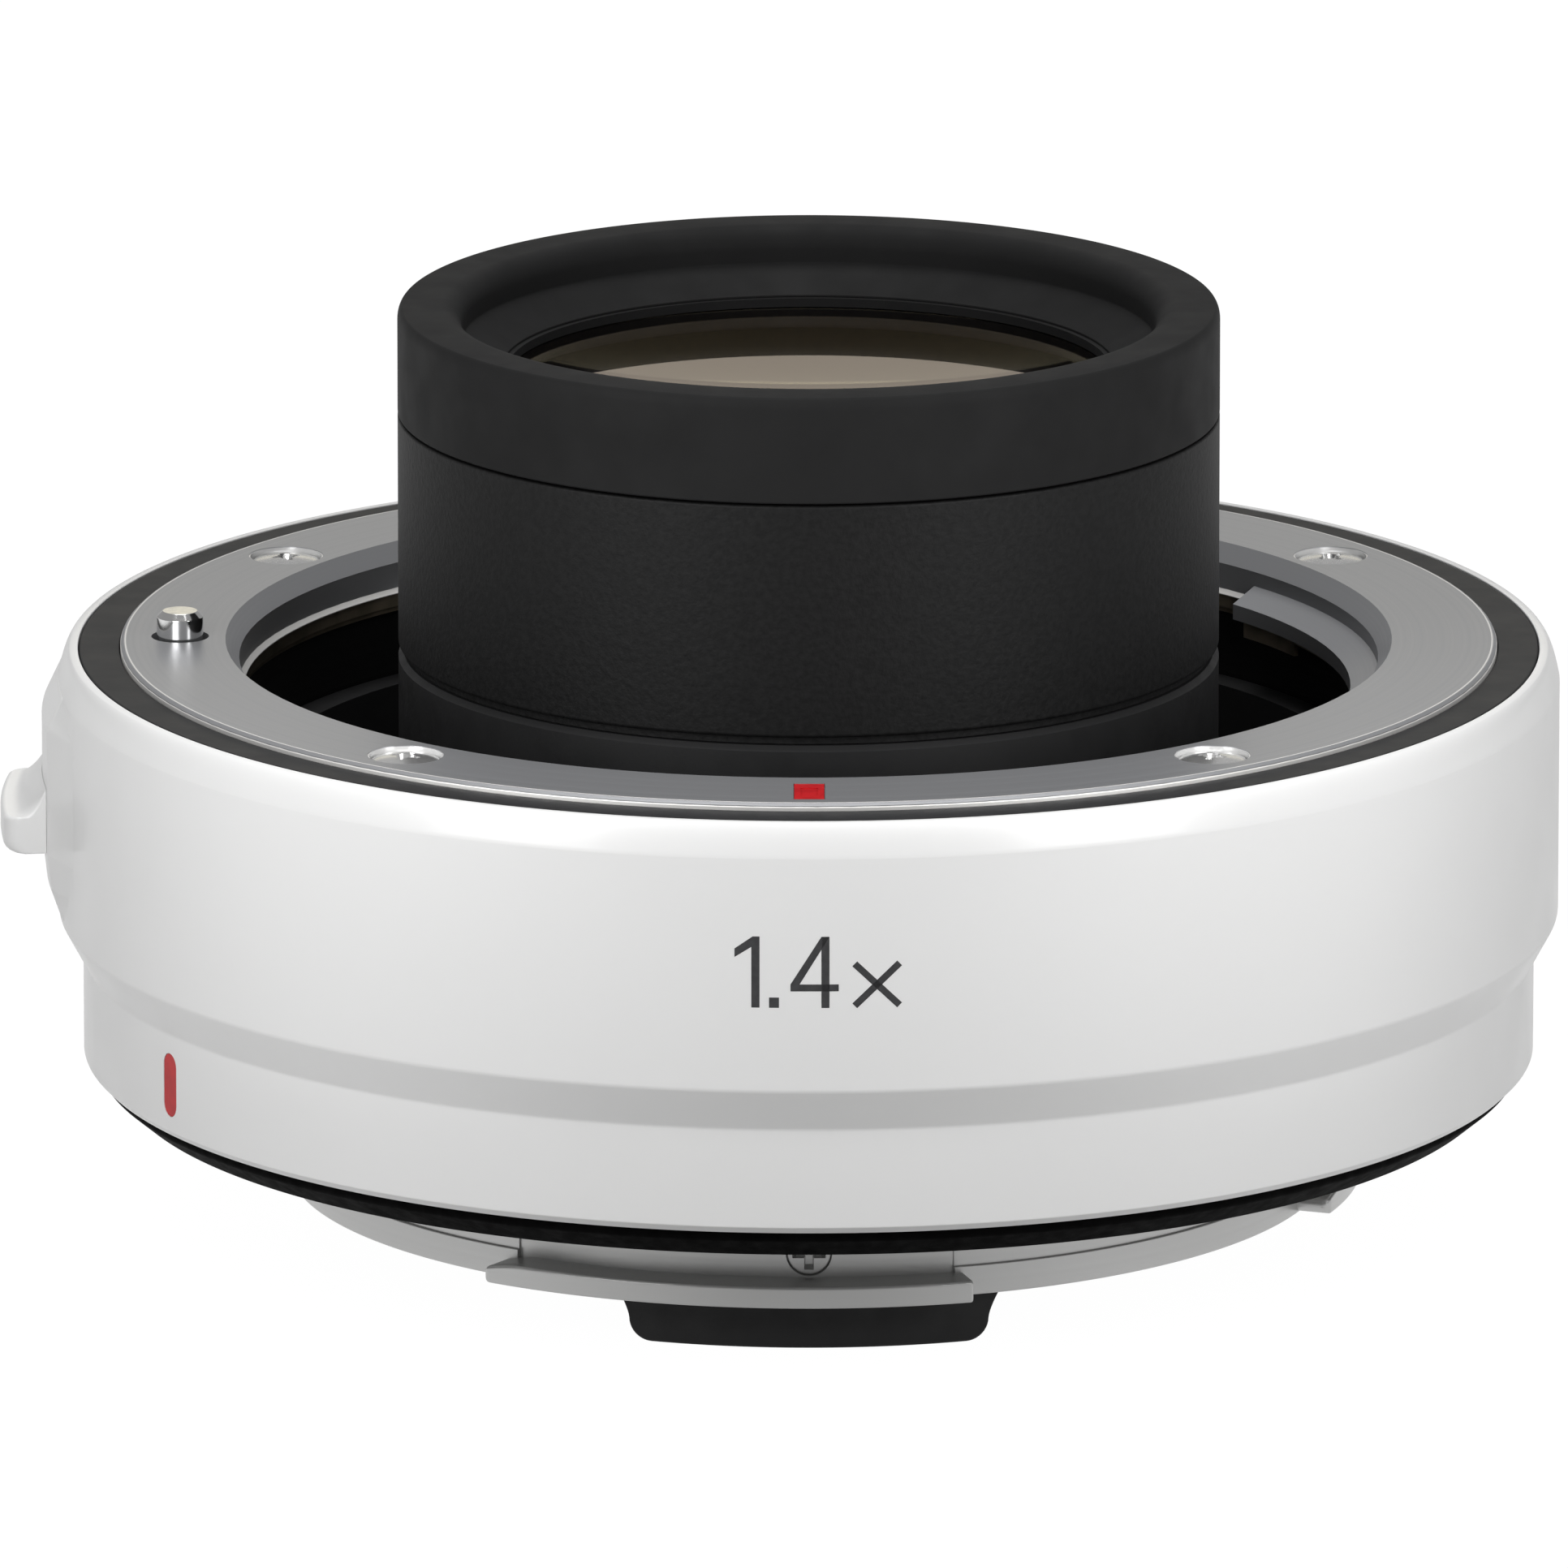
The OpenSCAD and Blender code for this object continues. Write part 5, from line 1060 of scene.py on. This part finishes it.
# %% Add the lugs
LUG_R, LUG_BASE, LUG_TOP, LUG_ROOT_R = 26.35, -5.6, -4.55, NECK_R - 0.4
LEAD_IN, LEAD_DROP, LUG_ROUND, LUG_TAIL_ROUND, LUG_THINNING = 2.4, 0.32, 0.38, 0.12, 0.8
LUG_TOP_EDGE = 0.16


def lug_mesh(first, last, steps=90):
    """One lug, with a lead-in at its first end and a small rounding at its last."""
    rows = []
    length = LUG_R * math.radians(last - first)
    for i in range(steps + 1):
        t = (1 - math.cos(math.pi * i / steps)) / 2
        from_first, from_last = t * length, (1 - t) * length
        drop = LEAD_DROP * max(1 - from_first / LEAD_IN, 0) ** 2
        shrink = max(drawn_in(LUG_ROUND, from_first), drawn_in(LUG_TAIL_ROUND, from_last))
        base, top = LUG_BASE + LUG_THINNING * shrink, LUG_TOP - drop - LUG_THINNING * shrink
        outline = soft_outline([
            (LUG_ROOT_R, base, 0), (LUG_R - shrink, base, SOFT_EDGE), (LUG_R - shrink, top, LUG_TOP_EDGE),
            (LUG_ROOT_R, top, 0)])
        rows.append([around(first + (last - first) * t, p.x, p.y) for p in outline])
    return swept("lug", rows)


for first, last in LUG_SPANS:
    mount_mesh = joined(mount_mesh, lug_mesh(first, last), "UNION")
print("mount with its lugs, faces:", len(mount_mesh.polygons))

# %% Drill the mount and set it in place
BIT_CLEAR, BIT_LENGTH, HOLE_STEPS = 0.5, 3.0, 48
LOCK_HOLE_R, LOCK_HOLE_BASE, LOCK_HOLE_TOP = 1.6, -1, 3


def drill(head, thread, places):
    """Countersunk holes in one cutter mesh: each opens along its own axis."""
    bm = bmesh.new()
    bit = lathe("bit", [
        (0, BIT_CLEAR, 0), (head, BIT_CLEAR, 0), (head, 0.0, 0), (thread, thread - head, 0),
        (thread, -BIT_LENGTH, 0), (0, -BIT_LENGTH, 0)], HOLE_STEPS)
    for spot, euler in places:
        part = bit.copy()
        part.transform(Matrix.Translation(spot) @ Euler(euler).to_matrix().to_4x4())
        bm.from_mesh(part)
        bpy.data.meshes.remove(part)
    mesh = bpy.data.meshes.new("holes")
    bm.to_mesh(mesh)
    bm.free()
    return mesh


lock_hole = lathe("lock_hole", [
    (0, LOCK_HOLE_BASE, 0), (LOCK_HOLE_R, LOCK_HOLE_BASE, 0), (LOCK_HOLE_R, LOCK_HOLE_TOP, 0),
    (0, LOCK_HOLE_TOP, 0)], HOLE_STEPS, at=(-LOCK_R, 0.0))
flange_holes = drill(head=1.58, thread=0.8, places=rear_places)
neck_holes = drill(head=1.16, thread=0.7, places=neck_places)
for holes in (flange_holes, neck_holes, lock_hole):
    mount_mesh = joined(mount_mesh, holes, "DIFFERENCE")
piece("rear_bayonet", mount_mesh, neck_steel, stands_for=("rear_mount",))

# %% [markdown]
# ### Contact block and seal
# The contact block is a moulding that follows the neck. Seen from the front its sides flare out under
# the steel, run straight down and turn into round feet. A bevelled box would miss the flare, so each
# column of its skin gets its own height. The rubber seal is a soft lip, and one more spun outline.

# %% Contact block
BLOCK_R, BLOCK_IN_R, BLOCK_TOP, BLOCK_BASE, BLOCK_EDGE = 23.33, 19.33, -1.2, -8.33, 0.14
FLARE_W, FLARE_H, FLARE_POWER, FOOT_HALF, FOOT_ROUND = 0.75, 1.7, 1.4, 8.42, 1.05
FLARE_STEPS, FOOT_STEPS, FLAT_STEPS = 10, 10, 12
flare_top = BLOCK_BASE + FOOT_ROUND + FLARE_H
flare = [(FOOT_HALF + FLARE_W * (1 - t) ** FLARE_POWER, flare_top - FLARE_H * t)
         for t in (k / FLARE_STEPS for k in range(FLARE_STEPS + 1))]
foot = [(FOOT_HALF - FOOT_ROUND * (1 - math.cos(a)), BLOCK_BASE + FOOT_ROUND * (1 - math.sin(a)))
        for a in (math.pi / 2 * k / FOOT_STEPS for k in range(1, FOOT_STEPS + 1))]
flat = [((FOOT_HALF - FOOT_ROUND) * (1 - k / FLAT_STEPS), BLOCK_BASE) for k in range(1, FLAT_STEPS + 1)]
half = flare + foot + flat
block_rows = []
for x, base in half + [(-x, z) for x, z in reversed(half[:-1])]:
    outline = soft_outline([
        (BLOCK_IN_R, BLOCK_TOP, 0), (BLOCK_R, BLOCK_TOP, 0), (BLOCK_R, base, BLOCK_EDGE),
        (BLOCK_IN_R, base, BLOCK_EDGE)])
    block_rows.append([Vector((x, -math.sqrt(p.x**2 - x**2), p.y)) * MM for p in outline])
piece("rear_contact_foot", swept("block", block_rows), moulded_black,
      stands_for=("rear_contact_block",))

# %% Seal
SEAL_IN_R, SEAL_FOOT_R, SEAL_LIP_R, SEAL_SEAT_R = 31.5, 32.6, 33.8, 32.27
SEAL_BASE, LIP_BASE, LIP_TOP, SEAL_TOP = -1.3, -0.3, 0.12, 1.47
SEAL_IN_ROUND, SEAL_FOOT_ROUND, LIP_ROUND, LIP_EDGE = 0.12, 0.2, 0.3, 0.05
seal_mesh = lathe("seal", [
    (SEAL_IN_R, SEAL_BASE, SEAL_IN_ROUND), (SEAL_FOOT_R, SEAL_BASE, SEAL_FOOT_ROUND),
    (SEAL_LIP_R, LIP_BASE, LIP_ROUND), (SEAL_LIP_R, LIP_TOP, LIP_EDGE), (SEAL_SEAT_R, LIP_TOP, 0),
    (SEAL_SEAT_R, SEAL_TOP, SOFT_EDGE), (SEAL_IN_R, SEAL_TOP, SOFT_EDGE)], LARGE_STEPS)
piece("rear_rubber_seal", seal_mesh, seal_rubber, stands_for=("rear_seal",))

# %% [markdown]
# ## Stage and light
# The object stands on a sheet of white paper. To the camera the paper has to be plain white, but if it
# were lit that far it would throw light back on the object. A Light Path node tells the rays apart:
# camera, mirrors and glass see a glow, and all other rays see dull paper that takes a faint shadow.
# In mirrors the glow is weaker straight ahead and behind than at the sides, which shades the steel.

# %% Floor
FLOOR_SIZE = 4.0
bm = bmesh.new()
bmesh.ops.create_grid(bm, x_segments=1, y_segments=1, size=FLOOR_SIZE)
for v in bm.verts:
    v.co.z = cad_low.z
floor_mesh = bpy.data.meshes.new("floor")
bm.to_mesh(floor_mesh)
bm.free()
floor = linked("floor", floor_mesh)
print("floor at height in mm:", round(cad_low.z / MM, 2))


# %% Paper of the floor
def bare(owner):
    """A material or a world with an empty node tree."""
    owner.use_nodes = True
    owner.node_tree.nodes.clear()
    return owner


def mixed(owner, share, first, second):
    """Two shaders in one, with the share of the second."""
    node = add_node(owner, "ShaderNodeMixShader", Fac=share)
    owner.node_tree.links.new(first, node.inputs[1])
    owner.node_tree.links.new(second, node.inputs[2])
    return node.outputs["Shader"]


PAPER, GLOW_SEEN, GLOW_AHEAD, GLOW_ASIDE, GLOW_SHARE = 0.36, 1.1, 0.65, 1.1, 0.9
ASIDE_FROM, ASIDE_TO = 0.15, 0.7
floor_paper = bare(bpy.data.materials.new("floor_paper"))
rays = add_node(floor_paper, "ShaderNodeLightPath").outputs
seen = compute(floor_paper, "ADD", rays["Is Camera Ray"], rays["Is Glossy Ray"], clamp=True)
seen = compute(floor_paper, "ADD", seen, rays["Is Transmission Ray"], clamp=True)
unit = add_node(floor_paper, "ShaderNodeVectorMath", {"operation": "NORMALIZE"}, Vector=place(floor_paper))
axes = add_node(floor_paper, "ShaderNodeSeparateXYZ", Vector=unit.outputs["Vector"])
in_mirrors = add_node(
    floor_paper, "ShaderNodeMapRange", Value=compute(floor_paper, "ABSOLUTE", axes.outputs["X"]),
    From_Min=ASIDE_FROM, From_Max=ASIDE_TO, To_Min=GLOW_AHEAD, To_Max=GLOW_ASIDE)
strength = add_node(floor_paper, "ShaderNodeMapRange", Value=rays["Is Camera Ray"],
                    To_Min=in_mirrors.outputs["Result"], To_Max=GLOW_SEEN)
glow = add_node(floor_paper, "ShaderNodeEmission", Strength=strength.outputs["Result"])
paper = add_node(floor_paper, "ShaderNodeBsdfDiffuse", Color=(PAPER, PAPER, PAPER, 1))
glow_share = compute(floor_paper, "MULTIPLY", seen, GLOW_SHARE)
floor_look = mixed(floor_paper, glow_share, paper.outputs["BSDF"], glow.outputs["Emission"])
add_node(floor_paper, "ShaderNodeOutputMaterial", Surface=floor_look)
floor_mesh.materials.append(floor_paper)
print("nodes in the paper:", len(floor_paper.node_tree.nodes))

# %% [markdown]
# The world works the same way. The camera sees white. Dull surfaces get a little light from a dim
# room, and mirrors and glass see that room brighter, with a warm window low on its back wall. The
# window is what the front glass shows as a pale crescent.

# %% World
ROOM, MIRRORED_ROOM, MIRRORED_WINDOW = 0.1, 0.35, 0.95
WHITE, WARM = (1, 1, 1, 1), (1.0, 0.95, 0.8, 1)
world = bare(bpy.data.worlds.new("studio"))
bpy.context.scene.world = world
rays = add_node(world, "ShaderNodeLightPath").outputs
towards = add_node(world, "ShaderNodeTexCoord").outputs["Generated"]
axes = add_node(world, "ShaderNodeSeparateXYZ", Vector=towards).outputs


def ramp_between(value, start, end):
    """0 at the start, 1 at the end, for a part of the world's direction."""
    ramp = add_node(world, "ShaderNodeMapRange", Value=value, From_Min=start, From_Max=end)
    return ramp.outputs["Result"]


behind = ramp_between(axes["Y"], 0.94, 0.96)
above_sill = ramp_between(axes["Z"], 0.14, 0.19)
below_top = ramp_between(axes["Z"], 0.32, 0.27)
window = compute(world, "MULTIPLY", behind, compute(world, "MULTIPLY", above_sill, below_top))
tint = add_node(world, "ShaderNodeValToRGB", Fac=window)
tint.color_ramp.elements[0].color, tint.color_ramp.elements[1].color = WHITE, WARM
level = add_node(world, "ShaderNodeMapRange", Value=window, To_Min=MIRRORED_ROOM, To_Max=MIRRORED_WINDOW)
room = add_node(world, "ShaderNodeBackground", Color=WHITE, Strength=ROOM)
mirrored = add_node(
    world, "ShaderNodeBackground", Color=tint.outputs["Color"], Strength=level.outputs["Result"])
white = add_node(world, "ShaderNodeBackground", Color=WHITE, Strength=1.0)
sharp = compute(world, "ADD", rays["Is Glossy Ray"], rays["Is Transmission Ray"], clamp=True)
around_it = mixed(world, sharp, room.outputs["Background"], mirrored.outputs["Background"])
background = mixed(world, rays["Is Camera Ray"], around_it, white.outputs["Background"])
add_node(world, "ShaderNodeOutputWorld", Surface=background)
print("nodes in the world:", len(world.node_tree.nodes))

# %% [markdown]
# Two small lamps close to the front, left and right, light the wall and let it fall off towards its
# sides. A broad lamp overhead gives the shoulder its bright band, and a fill from behind keeps the back
# readable when the object is turned. No lamp is seen by the camera or through the glass.

# %% Lamps
LAMP_AIM = Vector((0, 0, 0.01))
OVERHEAD, BACK = Vector((0.0, 0.12, 0.8)), Vector((0.0, 0.45, 0.22))
NEAR_TURN, NEAR_R, NEAR_Z, NEAR_W, NEAR_H, NEAR_WATTS = 38.0, 90.0, 52.0, 0.04, 0.06, 0.0445


def lamp(name, spot, width, depth, watts):
    """A soft lamp that looks at the object."""
    data = bpy.data.lights.new(name, "AREA")
    data.shape, data.size, data.size_y, data.energy = "RECTANGLE", width, depth, watts
    obj = linked(name, data)
    obj.location = spot
    obj.visible_camera = obj.visible_transmission = False
    obj.rotation_mode = "QUATERNION"
    obj.rotation_quaternion = (LAMP_AIM - spot).to_track_quat("-Z", "Y")
    return obj


for side, turn in (("left", -NEAR_TURN), ("right", NEAR_TURN)):
    lamp(side, around(turn, NEAR_R, NEAR_Z), NEAR_W, NEAR_H, NEAR_WATTS)
lamp("overhead", OVERHEAD, width=0.5, depth=0.5, watts=3.4)
back_fill = lamp("back_fill", BACK, width=0.3, depth=0.3, watts=0.8)
back_fill.visible_glossy = False
print("lamps:", len(bpy.data.lights))

# %% [markdown]
# ## Camera
# The picture was taken from far away with a long lens, a little above the object, so the rings are
# flat ellipses and hardly converge. The camera stands at that distance and looks along that slope.

# %% Camera
CAMERA_DISTANCE, ELEVATION = 1.242, math.radians(14.074)
AIM = Vector((-1.168, -0.255, 13.13)) * MM
SENSOR, FOCAL_LENGTH = 36.0, 600.7
forward = Vector((0, math.cos(ELEVATION), -math.sin(ELEVATION)))
lens = bpy.data.cameras.new("camera")
lens.sensor_width, lens.lens = SENSOR, FOCAL_LENGTH
lens.clip_start, lens.clip_end = 0.05, 50.0
camera = linked("camera", lens)
camera.location = AIM - forward * CAMERA_DISTANCE
camera.rotation_mode = "QUATERNION"
camera.rotation_quaternion = forward.to_track_quat("-Z", "Y")
bpy.context.scene.camera = camera
bpy.context.scene.view_settings.view_transform = "Standard"
print("camera at:", [round(v, 3) for v in camera.location])
